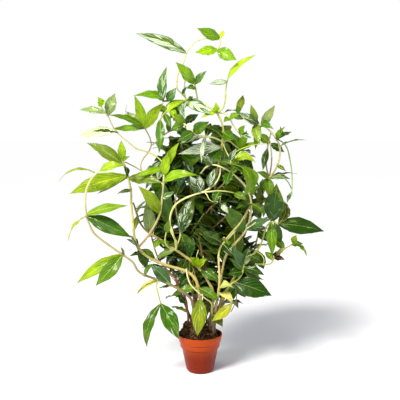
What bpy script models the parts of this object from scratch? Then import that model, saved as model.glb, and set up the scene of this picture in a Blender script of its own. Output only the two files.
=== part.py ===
# A hygrophila in a small round pot: bare winding stems, paired narrow leaves, mounded soil.
# The origin is the centre of the pot's foot, +Z is up and -Y is the front.

import math
import random

import bmesh
import bpy
import numpy as np
from mathutils import Matrix, Vector
from mathutils.geometry import intersect_point_line

MM = 0.001

# The pot: a turned shell, thin as moulded plastic, with a banded collar.
POT_OUTSIDE = ((0.0, 0.0), (16.5, 0.0), (18.8, 0.9), (20.3, 3.8), (26.6, 35.6), (28.7, 36.4),
               (29.3, 43.6), (30.5, 44.6), (32.5, 54.2), (32.2, 55.0))
POT_INSIDE = ((31.0, 54.8), (28.9, 45.4), (27.5, 44.2), (25.1, 36.0), (18.5, 4.0), (17.0, 2.0),
              (0.0, 2.0))
POT_SIDES = 22
DRAIN_HOLES = 4
DRAIN_RING = 11.0
DRAIN_RADIUS = 2.6

# The soil fills the pot to the collar and rises to a low mound, higher at the back left.
SOIL_EDGE = ((16.7, 2.4), (18.1, 4.3), (24.6, 36.1), (27.0, 44.5), (28.4, 45.7), (29.3, 50.0))
SOIL_MOUND = ((26.0, 55.2), (20.0, 59.6), (11.0, 62.4), (0.0, 63.4))
SOIL_SIDES = 20
SOIL_LUMP = 1.1
SOIL_SLOPE = 0.075
SLEEVE = 0.8
HOLE_FLOOR = 39.6
HOLE_SIDES = 6

# Every stem stands upright in its hole in the soil, from FOOT_HEIGHTS[0] to the last of them.
FOOT_HEIGHTS = (40.0, 52.0, 62.0, 70.0)
RING_EVERY = 19.0
TWIG = 1.9

# Stems were sighted from here, so a point is given as seen on the upright plane through the
# pot's axis (x, z) and by how far behind that plane it really lies.
EYE = Vector((0.0, -865.2, 340.9)) * MM

# The bush spreads as it rises: between these heights every depth grows by this share.
SPREAD_HEIGHTS = (110.0, 230.0)
SPREAD = 1.2

# A leaf: the rings of one that is at least so long, the fold of its halves along the rib,
# the wave of its edge, the thickness of its stalk and rib.
LEAF_RINGS = ((60.0, (0.0, 0.14, 0.38, 0.64, 0.86)), (31.0, (0.0, 0.18, 0.46, 0.78)),
              (0.0, (0.0, 0.3, 0.7)))
LEAF_FOLD = 0.24
LEAF_WAVE = 0.07
STALK_HALF = 0.8
RIB_HALF = 0.68
UP = Vector((0.0, 0.0, 1.0))

# Leaves placed by the rule keep this far from everything placed before them.
ROOM = 5.2
TURNS_TRIED = 7
LOWEST_LEAF = 74.0


def stem(thick, thin, *route, foot=None, pairs=None):
    """A stem's two radii, its sighted route, its foot in the soil and its rule for pairs."""
    return {"thick": thick, "thin": thin, "route": route, "foot": foot, "pairs": pairs}


def leaf(base, tip, width, turn=15.0, arch=0.08):
    """A leaf by hand: sighted base and tip, full width, turn away from the front, arch."""
    return {"base": base, "tip": tip, "width": width, "turn": turn, "arch": arch}


# Long low loop to the left, with two leaves that hang before the pot.
LEFT_LOOP = {
    "stems": (
        stem(1.9, 1.1, (-11, 100, -16), (-19, 112, -17), (-30, 120, -18), (-45, 128, -18),
             (-60, 134, -18), (-80, 141, -17), (-90, 148, -16), (-97, 160, -15), (-113, 172, -14),
             (-130, 184, -12), (-150, 200, -10), (-158, 214, -10), (-162, 228, -10),
             (-163.5, 245, -12), (-162, 262, -12), (-156, 277, -12), (-147, 288, -10),
             (-139, 294, -8), foot=(-8, -14)),
        stem(1.2, 0.9, (-60, 134, -18), (-63, 124, -21), (-60, 111, -23), (-57, 99, -24)),
    ),
    "leaves": (
        leaf((-113, 171, -14), (-179, 128, -20), 15, 20, 0.05),
        leaf((-112, 170, -14), (-151, 125, -27), 18, 12, 0.08),
        leaf((-109, 170, -14), (-114, 183, -16), 4, 50),
        leaf((-162, 227, -10), (-189, 184, -18), 11, 76, 0.16),
        leaf((-161, 229, -10), (-103, 242, -22), 12, 30, 0.07),
        leaf((-160, 227, -10), (-98, 196, -18), 19, 12, 0.05),
        leaf((-60, 134, -18), (-93, 110, -26), 9, 72, 0.14),
        leaf((-57, 99, -24), (-77, 33, -30), 13, 24, 0.24),
        leaf((-57, 99, -24), (-31, 46, -30), 20, 6, 0.07),
        leaf((-142, 293, -9), (-106, 299, -14), 12, 32, 0.16),
        leaf((-80, 141, -17), (-66, 158, -24), 8, 40, 0.1),
        leaf((-147, 288, -10), (-202, 275, -14), 8, 72, 0.22),
    ),
}

# The thick main stem to the left, which forks into a tall straight run and a winding one.
LEFT_MAIN = {
    "stems": (
        stem(2.4, 1.2, (1, 100, -7), (-3, 124, -6), (-8, 137, -4), (-20, 147, 0), (-40, 153, 2),
             (-60, 160, 3), (-75, 168, 3), (-89, 181, 2), (-94, 198, 2), (-96, 220, 2),
             (-98, 245, 3), (-98, 262, 3), (-102, 282, 3), (-106, 296, 2), (-110, 308, 0),
             foot=(2, -6)),
        stem(1.5, 1.1, (-89, 181, 2), (-76, 196, 3), (-64, 215, 3), (-57, 231, 2), (-54, 252, 1),
             (-52, 272, 0), (-51, 286, 0)),
        stem(0.9, 0.7, (-51, 286, 0), (-50, 298, 3), (-58, 309, 6), (-69, 316, 8), (-80, 320, 8),
             (-90, 323, 8), (-100, 331, 8), (-112, 341, 8), (-122, 353, 6), (-128, 366, 4),
             (-133, 373, 3), (-140, 384, 0)),
        stem(0.9, 0.8, (-52, 272, 0), (-62, 280, 4), (-73, 286, 6), (-82, 291, 8), (-84, 300, 9),
             (-80, 309, 12), (-73, 318, 13), (-69, 327, 12), (-70, 336, 10), (-74, 345, 8),
             (-78, 352, 6)),
        stem(0.8, 0.7, (-82, 291, 8), (-94, 298, 6), (-106, 304, 1)),
        stem(0.8, 0.8, (-69, 327, 12), (-57, 336, 14), (-45, 346, 16), (-31, 351, 18),
             (-21, 361, 20)),
    ),
    "leaves": (
        leaf((-4, 123, -6), (-43, 109, -6), 10, 35),
        leaf((-3, 122, -6), (29, 103, -20), 12, 25),
        leaf((1, 107, -7), (-4, 50, -27), 19, 0, 0.1),
        leaf((-86, 178, 2), (-64, 165, 12), 10, 20),
        leaf((-84, 174, 3), (-101, 169, -5), 5, 30),
        leaf((-90, 180, 3), (-77, 151, 12), 13, 10),
        leaf((-90, 180, 2), (-106, 194, -6), 7, 50, 0.16),
        leaf((-91, 181, 2), (-101, 199, 8), 7, 40, 0.16),
        leaf((-102, 281, 3), (-54, 274, -8), 15, 20, 0.06),
        leaf((-103, 285, 3), (-185, 259, 2), 21, 8, 0.1),
        leaf((-107, 299, 2), (-160, 331, 5), 16, 18, 0.1),
        leaf((-110, 307, 0), (-111, 335, -3), 10, 8, 0.05),
        leaf((-109, 306, 0), (-99, 312, -4), 5, 40),
        leaf((-106, 297, 2), (-104, 280, -11), 7, 30, 0.16),
        leaf((-58, 231, 2), (-88, 270, -7), 16, 15, 0.1),
        leaf((-57, 231, 2), (-47, 226, 14), 7, 40, 0.12),
        leaf((-52, 276, 0), (-3, 285, -14), 13, 28, 0.2),
        leaf((-51, 284, 0), (-45, 318, -5), 12, 12),
        leaf((-50, 296, 3), (-29, 332, -4), 11, 20),
        leaf((-50, 295, 2), (-93, 283, -6), 8, 30, 0.08),
        leaf((-52, 274, 0), (-46, 213, 11), 20, -12, 0.07),
        leaf((-139, 382, 0), (-143, 395, -4), 9, 20, 0.16),
        leaf((-138, 381, 0), (-133, 390, 5), 7, 40, 0.16),
        leaf((-133, 373, 3), (-169, 377, 8), 9, 30),
        leaf((-129, 369, 4), (-119, 400, 10), 14, 10),
        leaf((-118, 348, 7), (-171, 341, 18), 14, 32),
        leaf((-116, 345, 8), (-153, 347, -6), 8, 68, 0.06),
        leaf((-78, 351, 6), (-92, 398, 1), 12, 6, 0.06),
        leaf((-77, 351, 6), (-51, 387, 2), 14, 10, 0.08),
        leaf((-78, 351, 6), (-128, 370, -8), 9, 40, 0.08),
        leaf((-78, 351, 6), (-123, 351, 16), 9, 34, 0.04),
        leaf((-31, 351, 18), (-13, 338, 6), 12, 20),
        leaf((-44, 347, 16), (-42, 366, 12), 7, 20),
        leaf((-23, 360, 20), (-2, 371, 20), 10, 20),
        leaf((-23, 360, 20), (-44, 374, 24), 11, 20),
    ),
}

# A stem that forks low, sends one arm left behind the others and two arcs up to the right.
LEFT_INNER = {
    "stems": (
        stem(2.0, 1.1, (19, 113, -2), (12, 131, -1), (2, 147, 0), (-10, 160, 1), (-22, 169, 3),
             (-35, 178, 4), (-48, 187, 7), (-60, 195, 10), (-72, 202, 12), (-80, 209, 13),
             (-87, 220, 13), (-91, 233, 13), (-95, 246, 12), foot=(14, -2)),
        stem(1.5, 0.9, (-35, 178, 4), (-34, 188, 1), (-38, 198, -1), (-42, 208, -1), (-43, 220, -1),
             (-41, 232, -2), (-35, 243, -4), (-24, 251, -6), (-10, 257, -7), (2, 261, -7),
             (14, 267, -7), (23, 275, -6), (28, 286, -5), (29, 296, -6)),
        stem(1.1, 0.8, (-35, 178, 4), (-31, 189, 7), (-28, 201, 9), (-30, 213, 10), (-33, 228, 11),
             (-35, 245, 12), (-34, 259, 12)),
        stem(1.0, 0.8, (-35, 178, 4), (-43, 180, 1), (-49, 187, -4), (-50, 195, -7), (-48, 204, -8)),
        stem(1.0, 0.7, (2, 261, -7), (14, 262, -9), (28, 263, -9), (40, 262, -8), (49, 260, -7)),
    ),
    "leaves": (
        leaf((-4, 155, 1), (10, 165, -9), 9, 20),
        leaf((-5, 156, 1), (-14, 168, -9), 9, 20),
        leaf((-4, 155, 1), (-3, 168, -12), 8, 10),
        leaf((0, 149, 0), (28, 132, -9), 13, 15),
        leaf((-35, 178, 4), (-64, 165, 16), 8, 30),
        leaf((-28, 202, 9), (-7, 258, 4), 19, 12, 0.06),
        leaf((-29, 203, 9), (-14, 172, 14), 18, 0),
        leaf((-48, 203, -8), (-44, 222, -13), 8, 20),
        leaf((-71, 201, 12), (-77, 249, 8), 16, 10, 0.05),
        leaf((-69, 201, 12), (-50, 241, 20), 9, 30),
        leaf((-89, 227, 13), (-94, 205, 7), 7, 20),
        leaf((-90, 230, 13), (-74, 250, 8), 5, 50, 0.12),
        leaf((-58, 194, 10), (-66, 179, 4), 8, 20),
        leaf((14, 267, -7), (22, 296, -15), 11, 15),
        leaf((2, 261, -7), (-15, 285, -6), 12, 15),
        leaf((0, 260, -7), (-2, 287, -10), 11, 15),
        leaf((-34, 258, 12), (-22, 283, 12), 12, 20),
        leaf((-35, 257, 12), (-44, 281, 18), 11, 20),
        leaf((48, 260, -7), (66, 250, -13), 9, 25),
        leaf((28, 263, -9), (20, 245, -14), 11, 15),
    ),
}

# A pale stem that rises straight by the pot's right side and then leans away.
MIDDLE_RIGHT = {
    "stems": (
        stem(1.7, 1.0, (27, 118, -12), (28, 140, -10), (27, 160, -8), (27, 172, -6), (30, 183, -5),
             (37, 191, -3), (46, 201, 0), (56, 212, 4), (63, 224, 9), (68, 235, 13), (71, 244, 16),
             foot=(19, -11)),
        stem(1.1, 0.9, (27, 116, -12), (38, 110, -17), (45, 103, -19), (46, 96, -20)),
    ),
    "leaves": (
        leaf((32, 187, -4), (-5, 205, -13), 14, 15, 0.1),
        leaf((33, 187, -4), (52, 166, -16), 13, 12, 0.1),
        leaf((27, 118, -12), (49, 122, -22), 13, 50, 0.34),
        leaf((46, 99, -20), (17, 73, -26), 12, -14, 0.12),
        leaf((24, 88, -12), (33, 64, -24), 9, 20, 0.1),
        leaf((71, 243, 16), (58, 262, 12), 10, 20),
        leaf((56, 212, 4), (36, 226, 6), 12, 20),
    ),
}

# The long arch over the right side.
RIGHT_ARCH = {
    "stems": (
        stem(1.9, 0.9, (24, 100, 10), (30, 135, 10), (35, 162, 8), (42, 178, 6), (51, 188, 4),
             (59, 197, 2), (66, 208, 1), (71, 222, 1), (73, 238, 1), (72, 252, 0), (67, 266, -2),
             (56, 279, -5), (43, 290, -7), (30, 297, -8), (18, 300, -6), (8, 296, -2), (1, 288, 4),
             foot=(15, 8)),
    ),
    "leaves": (
        leaf((66, 208, 1), (103, 223, -8), 11, 20),
        leaf((66, 207, 1), (97, 209, 12), 9, 20),
        leaf((64, 205, 1), (33, 243, -8), 20, 12, 0.06),
        leaf((72, 244, 0), (93, 228, -7), 9, 30, 0.16),
        leaf((72, 244, 0), (50, 237, -12), 9, 35, 0.1),
        leaf((70, 258, -1), (84, 270, -6), 9, 25),
        leaf((43, 290, -7), (36, 270, -15), 12, 20),
        leaf((42, 290, -7), (62, 303, -12), 12, 25),
        leaf((18, 300, -6), (2, 313, -12), 11, 20),
    ),
}

# The tallest shoot, from the middle of the pot to the topmost leaves.
TOP = {
    "stems": (
        stem(2.1, 1.2, (6, 100, 14), (8, 150, 18), (12, 200, 20), (17, 240, 18), (22, 275, 14),
             (26, 300, 10), (30, 320, 6), (31, 333, 4), (33, 346, 3), (31, 358, 2), (27, 367, 2),
             (24, 373, 2), foot=(4, 10), pairs=(88, 58, 50)),
        stem(1.2, 0.9, (24, 373, 2), (15, 379, 3), (6, 385, 5), (-4, 389, 7), (-18, 391, 9),
             (-33, 390, 10), (-53, 389, 10)),
        stem(0.9, 0.8, (-18, 391, 9), (-30, 386, 7), (-41, 380, 5), (-50, 372, 3), (-57, 363, 0)),
        stem(0.9, 0.8, (24, 373, 2), (32, 379, 2), (35, 390, 1), (36, 403, 0), (38, 418, 0)),
        stem(0.9, 0.7, (24, 373, 2), (34, 372, 0), (41, 366, -2), (46, 357, -3), (52, 348, -3),
             (58, 341, -3)),
        stem(1.3, 0.8, (31, 333, 4), (20, 338, 0), (8, 340, -3), (-3, 341, -5), (-10, 347, -6),
             (-17, 354, -6), (-23, 358, -5)),
        stem(1.0, 0.8, (31, 333, 4), (40, 334, 7), (48, 328, 10), (57, 321, 12)),
        stem(0.8, 0.7, (31, 333, 4), (36, 321, -1), (41, 311, -6), (43, 301, -14)),
        stem(0.9, 0.7, (-18, 391, 9), (-25, 399, 8), (-32, 407, 6), (-32, 420, 5), (-29, 431, 5),
             (-23, 442, 4), (-19, 455, 3), (-13, 463, 2), (-7, 470, 1), (2, 474, 0), (14, 475, 0),
             (28, 475, 0)),
        stem(0.8, 0.7, (28, 475, 0), (28, 467, -2), (24, 459, -3)),
        stem(1.1, 0.9, (-3, 389, 7), (-5, 400, 6), (-8, 415, 5)),
    ),
    "leaves": (
        leaf((-20, 456, 3), (-89, 482, -2), 14, 18, 0.04),
        leaf((28, 475, 0), (-4, 489, -5), 13, 15, 0.06),
        leaf((28, 475, 0), (33, 486, 3), 6, 30),
        leaf((24, 460, -3), (-7, 456, -9), 11, 15, 0.06),
        leaf((24, 460, -3), (51, 446, -9), 15, 12, 0.06),
        leaf((-8, 413, 5), (-34, 443, -1), 14, 14, 0.08),
        leaf((-8, 413, 5), (9, 431, -2), 9, 30, 0.08),
        leaf((-7, 408, 5), (-19, 407, -4), 8, 40),
        leaf((-52, 389, 10), (-46, 437, 4), 12, 16, 0.12),
        leaf((-46, 389, 10), (-33, 408, 3), 11, 12),
        leaf((-51, 389, 10), (-93, 397, -7), 12, 40, 0.2),
        leaf((-18, 391, 9), (15, 371, -8), 14, 6, 0.05),
        leaf((22, 374, 2), (22, 388, -4), 8, 20, 0.16),
        leaf((22, 373, 2), (2, 366, -7), 8, 40, 0.1),
        leaf((-56, 364, 0), (-58, 316, -10), 11, 10, 0.08),
        leaf((38, 417, 0), (78, 453, -6), 10, 50, 0.16),
        leaf((30, 326, 6), (-31, 315, -9), 15, 18, 0.06),
        leaf((30, 325, 6), (13, 303, 16), 12, 14),
        leaf((-10, 347, -6), (13, 361, -16), 14, 14),
        leaf((-9, 346, -6), (-32, 333, -16), 12, 14),
        leaf((-22, 358, -5), (-37, 372, -8), 12, 14),
        leaf((-22, 357, -5), (-41, 349, -2), 11, 20),
        leaf((33, 346, 3), (50, 335, -8), 14, 12),
        leaf((33, 346, 3), (12, 352, 12), 12, 20),
        leaf((42, 365, -2), (33, 360, -9), 7, 30, 0.12),
        leaf((42, 366, -2), (56, 371, -10), 7, 25),
        leaf((56, 343, -3), (63, 356, -8), 8, 20),
        leaf((56, 342, -3), (72, 338, -9), 8, 25),
        leaf((56, 321, 12), (66, 349, 6), 10, 12),
        leaf((56, 322, 12), (46, 345, 14), 12, 15),
        leaf((43, 303, -12), (52, 324, -20), 8, 20),
        leaf((43, 303, -13), (61, 252, -22), 17, 62, 0.36),
        leaf((57, 321, 12), (84, 331, 4), 8, 45, 0.1),
    ),
}

# The rings of bare stem at the right, with their crown of leaves.
RIGHT_LOOPS = {
    "stems": (
        stem(1.9, 0.9, (30, 100, 26), (48, 150, 32), (64, 200, 34), (80, 240, 30), (92, 265, 22),
             (98, 281, 14), (103, 287, 12), (110, 300, 8), (113, 314, 5), (112, 327, 3),
             (107, 337, 2), (100, 346, 2), (92, 353, 2), (83, 356, 3), (72, 358, 4), (62, 365, 4),
             (54, 374, 3), foot=(13, 16), pairs=(85, 62, 46)),
        stem(1.1, 0.9, (98, 281, 14), (94, 297, 17), (94, 312, 17), (96, 328, 14), (100, 345, 4)),
        stem(1.0, 0.8, (98, 281, 14), (101, 300, 20), (101, 316, 22), (99, 331, 22)),
        stem(0.8, 0.7, (107, 337, 2), (116, 332, -4), (123, 323, -6), (127, 308, -6),
             (130, 290, -6), (131, 271, -6), (130, 259, -6)),
    ),
    "leaves": (
        leaf((86, 355, 3), (105, 384, -2), 11, 12, 0.08),
        leaf((79, 357, 3), (71, 385, 0), 9, 12, 0.06),
        leaf((88, 355, 3), (104, 350, -11), 10, 20, 0.24),
        leaf((84, 356, 3), (58, 372, 10), 10, 20),
        leaf((62, 365, 4), (44, 369, 10), 8, 25),
        leaf((55, 373, 3), (51, 384, -2), 7, 20),
        leaf((77, 357, 3), (84, 329, -5), 12, 10),
        leaf((98, 281, 14), (98, 252, 8), 12, 10, 0.1),
        leaf((99, 281, 14), (128, 280, 6), 9, 45, 0.08),
        leaf((97, 281, 14), (80, 290, 6), 8, 30),
        leaf((98, 280, 14), (84, 262, 18), 11, 15),
        leaf((108, 335, 2), (120, 354, -5), 7, 30, 0.2),
        leaf((108, 335, 2), (129, 346, 8), 6, 45, 0.12),
        leaf((95, 322, 15), (89, 292, 10), 9, 25, 0.06),
        leaf((99, 330, 22), (78, 344, 20), 11, 15),
        leaf((100, 330, 22), (119, 318, 24), 10, 25),
        leaf((130, 261, -6), (124, 246, -13), 6, 40),
    ),
}

# The shoot with the broadest leaves, low on the right, and its small side shoot.
RIGHT_BROAD = {
    "stems": (
        stem(1.7, 1.0, (30, 95, 5), (45, 130, 9), (62, 155, 11), (82, 177, 8), (88, 188, 6),
             (92, 202, 4), (96, 213, 2), (104, 219, 0), (112, 215, 0), foot=(21.5, 3)),
        stem(1.0, 0.8, (62, 155, 11), (75, 157, 9), (90, 157, 7), (102, 158, 4), (107, 167, 3),
             (114, 174, 2), (122, 180, 2), (129, 184, 2), (135, 188, 1)),
    ),
    "leaves": (
        leaf((103, 218, 0), (109, 274, -4), 25, 5, 0.06),
        leaf((101, 218, 0), (104, 169, -10), 13, 8, 0.06),
        leaf((106, 218, 0), (117, 188, 8), 11, 12),
        leaf((110, 216, 0), (178, 205, 0), 21, 8, 0.04),
        leaf((111, 215, 0), (118, 250, 14), 10, -70, 0.26),
        leaf((134, 187, 1), (138, 200, -3), 9, 15),
        leaf((132, 186, 1), (148, 187, -6), 7, 30),
        leaf((133, 187, 1), (154, 168, -5), 8, 60, 0.2),
        leaf((121, 179, 2), (107, 194, 8), 10, 20),
        leaf((107, 167, 3), (122, 164, -5), 7, 30),
        leaf((105, 163, 3), (93, 175, 12), 8, 20),
        leaf((75, 157, 9), (70, 140, 4), 10, 20),
    ),
}

# A short shoot low on the right, with one broad dark leaf that hangs out beside the pot.
RIGHT_LOW = {
    "stems": (
        stem(1.6, 1.0, (28, 96, -4), (34, 113, -6), (44, 127, -8), (55, 135, -9), (61, 145, -8),
             (63, 158, -7), foot=(21.5, -4)),
    ),
    "leaves": (
        leaf((49, 131, -9), (104, 111, -18), 25, 8, 0.07),
        leaf((63, 156, -7), (47, 182, -16), 12, 15),
        leaf((63, 157, -7), (89, 160, -18), 8, 62, 0.4),
        leaf((63, 155, -7), (86, 134, 0), 15, 10),
        leaf((61, 146, -8), (40, 142, -15), 12, 18),
        leaf((63, 157, -7), (72, 183, -6), 11, 18),
        leaf((62, 152, -7), (93, 141, -14), 10, 20, 0.14),
    ),
}

# Leafy stems behind and between, which fill the middle of the bush and its back.
FILLERS = {
    "shoot_centre": stem(1.9, 1.0, (-9, 108, 3), (-19, 150, 12), (-18, 195, 18), (-8, 240, 19),
                         (-18, 285, 19), (-26, 322, 18), (-20, 356, 17), foot=(-6, 3),
                         pairs=(75, 42, 48)),
    "shoot_left_low": stem(1.5, 0.9, (-20, 103, 4), (-30, 128, 7), (-42, 143, 11), (-55, 157, 14),
                           (-64, 176, 17), (-70, 200, 19), foot=(-17, 2), pairs=(45, 44, 36)),
    "shoot_back_left": stem(1.8, 1.0, (-26, 110, 26), (-42, 155, 30), (-54, 200, 31),
                            (-58, 245, 30), (-50, 288, 31), (-36, 325, 28), foot=(-13, 13),
                            pairs=(66, 46, 48)),
    "shoot_back": stem(1.8, 1.0, (-6, 108, 42), (-10, 155, 47), (-8, 205, 45), (4, 250, 45),
                       (18, 290, 45), (24, 328, 41), foot=(-4, 20), pairs=(66, 46, 52)),
    "shoot_back_right": stem(1.8, 1.0, (22, 110, 40), (40, 155, 39), (52, 200, 36), (58, 245, 33),
                             (52, 288, 31), (48, 322, 26), foot=(7, 20), pairs=(66, 46, 50)),
    "shoot_right_back": stem(1.6, 0.9, (38, 104, 24), (58, 130, 30), (74, 165, 30), (84, 205, 27),
                             (88, 245, 24), foot=(18, 13), pairs=(60, 44, 46)),
}

SHOOTS = {
    "shoot_left_loop": LEFT_LOOP,
    "shoot_left_main": LEFT_MAIN,
    "shoot_left_inner": LEFT_INNER,
    "shoot_middle_right": MIDDLE_RIGHT,
    "shoot_right_arch": RIGHT_ARCH,
    "shoot_top": TOP,
    "shoot_right_loops": RIGHT_LOOPS,
    "shoot_right_broad": RIGHT_BROAD,
    "shoot_right_low": RIGHT_LOW,
}


def sighted(x, z, depth):
    """The place that is seen at x, z on the axis plane and lies behind it, deeper when high."""
    low, high = SPREAD_HEIGHTS
    risen = min(1.0, max(0.0, (z - low) / (high - low)))
    flat = Vector((x, 0.0, z)) * MM
    return EYE + (flat - EYE) * ((depth * (1 + SPREAD * risen) * MM - EYE.y) / -EYE.y)


def stem_points(plan):
    """The stem's centre line: its upright foot, then its route, as a smooth run of rings."""
    knots = [sighted(*place) for place in plan["route"]]
    if plan["foot"]:
        x, y = plan["foot"]
        knots = [Vector((x, y, z)) * MM for z in FOOT_HEIGHTS] + knots
    ends = [2 * knots[0] - knots[1]] + knots + [2 * knots[-1] - knots[-2]]
    points = []
    for before, start, end, after in zip(ends, knots, knots[1:], ends[3:]):
        pieces = max(1, round((end - start).length / (RING_EVERY * MM)))
        for step in range(pieces):
            points.append(on_spline(before, start, end, after, step / pieces))
    return points + [knots[-1]]


def on_spline(before, start, end, after, share):
    """A point on the Catmull-Rom curve from start to end."""
    bend = 2 * before - 5 * start + 4 * end - after
    twist = 3 * start - before - 3 * end + after
    return 0.5 * (2 * start + (end - before) * share + bend * share**2 + twist * share**3)


def nearest_on(lines, place):
    """The point of the stems' centre lines that lies nearest this place."""
    nearest = []
    for line in lines:
        for start, end in zip(line, line[1:]):
            share = intersect_point_line(place, start, end)[1]
            nearest.append(start.lerp(end, min(1.0, max(0.0, share))))
    return min(nearest, key=lambda point: (point - place).length)


def leaf_by_hand(plan, lines):
    """A hand-placed leaf, rooted in the nearest stem, with the way its upper side faces."""
    base = nearest_on(lines, sighted(*plan["base"]))
    tip = sighted(*plan["tip"])
    along = (tip - base).normalized()
    to_front = EYE - base
    facing = (to_front - along * to_front.dot(along)).normalized()
    way = 1 if along.cross(UP).dot(facing) < 0 else -1
    turned = Matrix.Rotation(math.radians(plan["turn"]) * way, 3, along) @ facing
    return {"base": base, "tip": tip, "facing": turned, "width": plan["width"] * MM,
            "arch": plan["arch"]}


def leaf_point(blade, along, across):
    """A point of the leaf's middle surface: along 0 to 1, across -1 to 1."""
    run = blade["tip"] - blade["base"]
    half = half_width(blade, along)
    arched = blade["arch"] * run.length * 4 * along * (1 - along)
    side = run.normalized().cross(blade["facing"])
    lifted = arched + LEAF_FOLD * abs(across) * half
    return blade["base"] + run * along + blade["facing"] * lifted + side * (across * half)


def half_width(blade, along):
    """Half the leaf's width: a narrow stalk, then a long pointed oval."""
    oval = math.sin(math.pi * along**0.86) ** 1.15 if 0 < along < 1 else 0.0
    return blade["width"] / 2 * oval + STALK_HALF * MM * (1 - along)


def probe(blade):
    """Points all over the leaf, past its stalk, for the test of room."""
    return [leaf_point(blade, along, across)
            for along in (0.3, 0.45, 0.6, 0.75, 0.9, 1.0) for across in (-1, 0, 1)]


def has_room(blade, taken):
    """Whether the leaf keeps clear of all that stands already, the pot and soil too."""
    places = np.array([tuple(point) for point in probe(blade)])
    if places[:, 2].min() < LOWEST_LEAF * MM:
        return False
    gaps = np.linalg.norm(places[:, None] - np.array(taken)[None], axis=2)
    return gaps.min() > ROOM * MM


def place_pairs(points, rule, taken, draw):
    """Opposite leaves along a stem, each pair square to the last, turned until they are clear."""
    first, every, length = rule
    placed = []
    travelled = 0.0
    wanted = first * MM
    spin = draw.uniform(0, math.pi)
    for start, end in zip(points, points[1:]):
        step = (end - start).length
        while wanted <= travelled + step:
            node = start.lerp(end, (wanted - travelled) / step)
            for half_turn in (0, math.pi):
                size = length * draw.uniform(0.8, 1.15) * MM
                blade = turned_clear(node, end - start, spin + half_turn, size, taken, draw)
                if blade:
                    placed.append(blade)
                    taken.extend(tuple(point) for point in probe(blade))
            spin += math.pi / 2
            wanted += every * draw.uniform(0.85, 1.15) * MM
        travelled += step
    return placed


def turned_clear(node, heading, spin, size, taken, draw):
    """One leaf at a stem's node, turned about the stem until it has room, or none."""
    heading = heading.normalized()
    across = heading.orthogonal().normalized()
    slender = draw.uniform(0.27, 0.34)
    arch = draw.uniform(0.05, 0.14)
    for turn in range(TURNS_TRIED):
        swing = spin + turn * math.tau / TURNS_TRIED
        outward = Matrix.Rotation(swing, 3, heading) @ across
        away = (outward * 0.86 + heading * 0.42 - UP * 0.2).normalized()
        facing = (UP - away * UP.dot(away)).normalized()
        blade = {"base": node, "tip": node + away * size, "facing": facing,
                 "width": size * slender, "arch": arch}
        if has_room(blade, taken):
            return blade
    return None


def plan_plant():
    """Each shoot's stems and leaves. Hand-placed leaves come first, then those of the rule."""
    plans = dict(SHOOTS)
    plans.update({name: {"stems": (filler,), "leaves": ()} for name, filler in FILLERS.items()})
    taken = []
    for plan in plans.values():
        lines = [stem_points(each) for each in plan["stems"]]
        plan["lines"] = lines
        plan["blades"] = [leaf_by_hand(each, lines) for each in plan["leaves"]]
        for line in lines:
            for start, end in zip(line, line[1:]):
                taken.extend(tuple(start.lerp(end, share / 4)) for share in range(4))
        for blade in plan["blades"]:
            taken.extend(tuple(point) for point in probe(blade))
    for number, plan in enumerate(plans.values()):
        draw = random.Random(number)
        for each, line in zip(plan["stems"], plan["lines"]):
            if each["pairs"]:
                plan["blades"] += place_pairs(line, each["pairs"], taken, draw)
        add_tip_leaves(plan, taken, draw)
    return plans


def add_tip_leaves(plan, taken, draw):
    """Two small leaves at the end of each stem that the rule leafs."""
    for each, line in zip(plan["stems"], plan["lines"]):
        if not each["pairs"]:
            continue
        for spin in (0.0, math.pi):
            blade = turned_clear(line[-1], line[-1] - line[-2], spin, 30 * MM, taken, draw)
            if blade:
                plan["blades"].append(blade)
                taken.extend(tuple(point) for point in probe(blade))


def add_object(name, mesh, home):
    made = bpy.data.objects.new(name, mesh)
    home.objects.link(made)
    return made


def stem_object(name, line, thick, thin, home):
    """A stem as a round curve with a radius at each ring, made a closed mesh."""
    curve = bpy.data.curves.new(name, "CURVE")
    curve.dimensions = "3D"
    curve.bevel_depth = MM
    curve.bevel_resolution = 0 if thick <= TWIG else 1
    curve.use_fill_caps = True
    spline = curve.splines.new("POLY")
    spline.points.add(len(line) - 1)
    for number, (place, point) in enumerate(zip(line, spline.points)):
        point.co = (*place, 1.0)
        point.radius = thick + (thin - thick) * number / (len(line) - 1)
    source = bpy.data.objects.new(name + "_curve", curve)
    bpy.context.scene.collection.objects.link(source)
    graph = bpy.context.evaluated_depsgraph_get()
    mesh = bpy.data.meshes.new_from_object(source.evaluated_get(graph))
    bpy.data.objects.remove(source)
    close_mesh(mesh)
    return add_object(name, mesh, home)


def close_mesh(mesh):
    """Welds a curve's loose caps to its tube and turns every face outward."""
    shape = bmesh.new()
    shape.from_mesh(mesh)
    bmesh.ops.remove_doubles(shape, verts=shape.verts, dist=0.02 * MM)
    bmesh.ops.recalc_face_normals(shape, faces=shape.faces)
    shape.to_mesh(mesh)
    shape.free()


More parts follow.
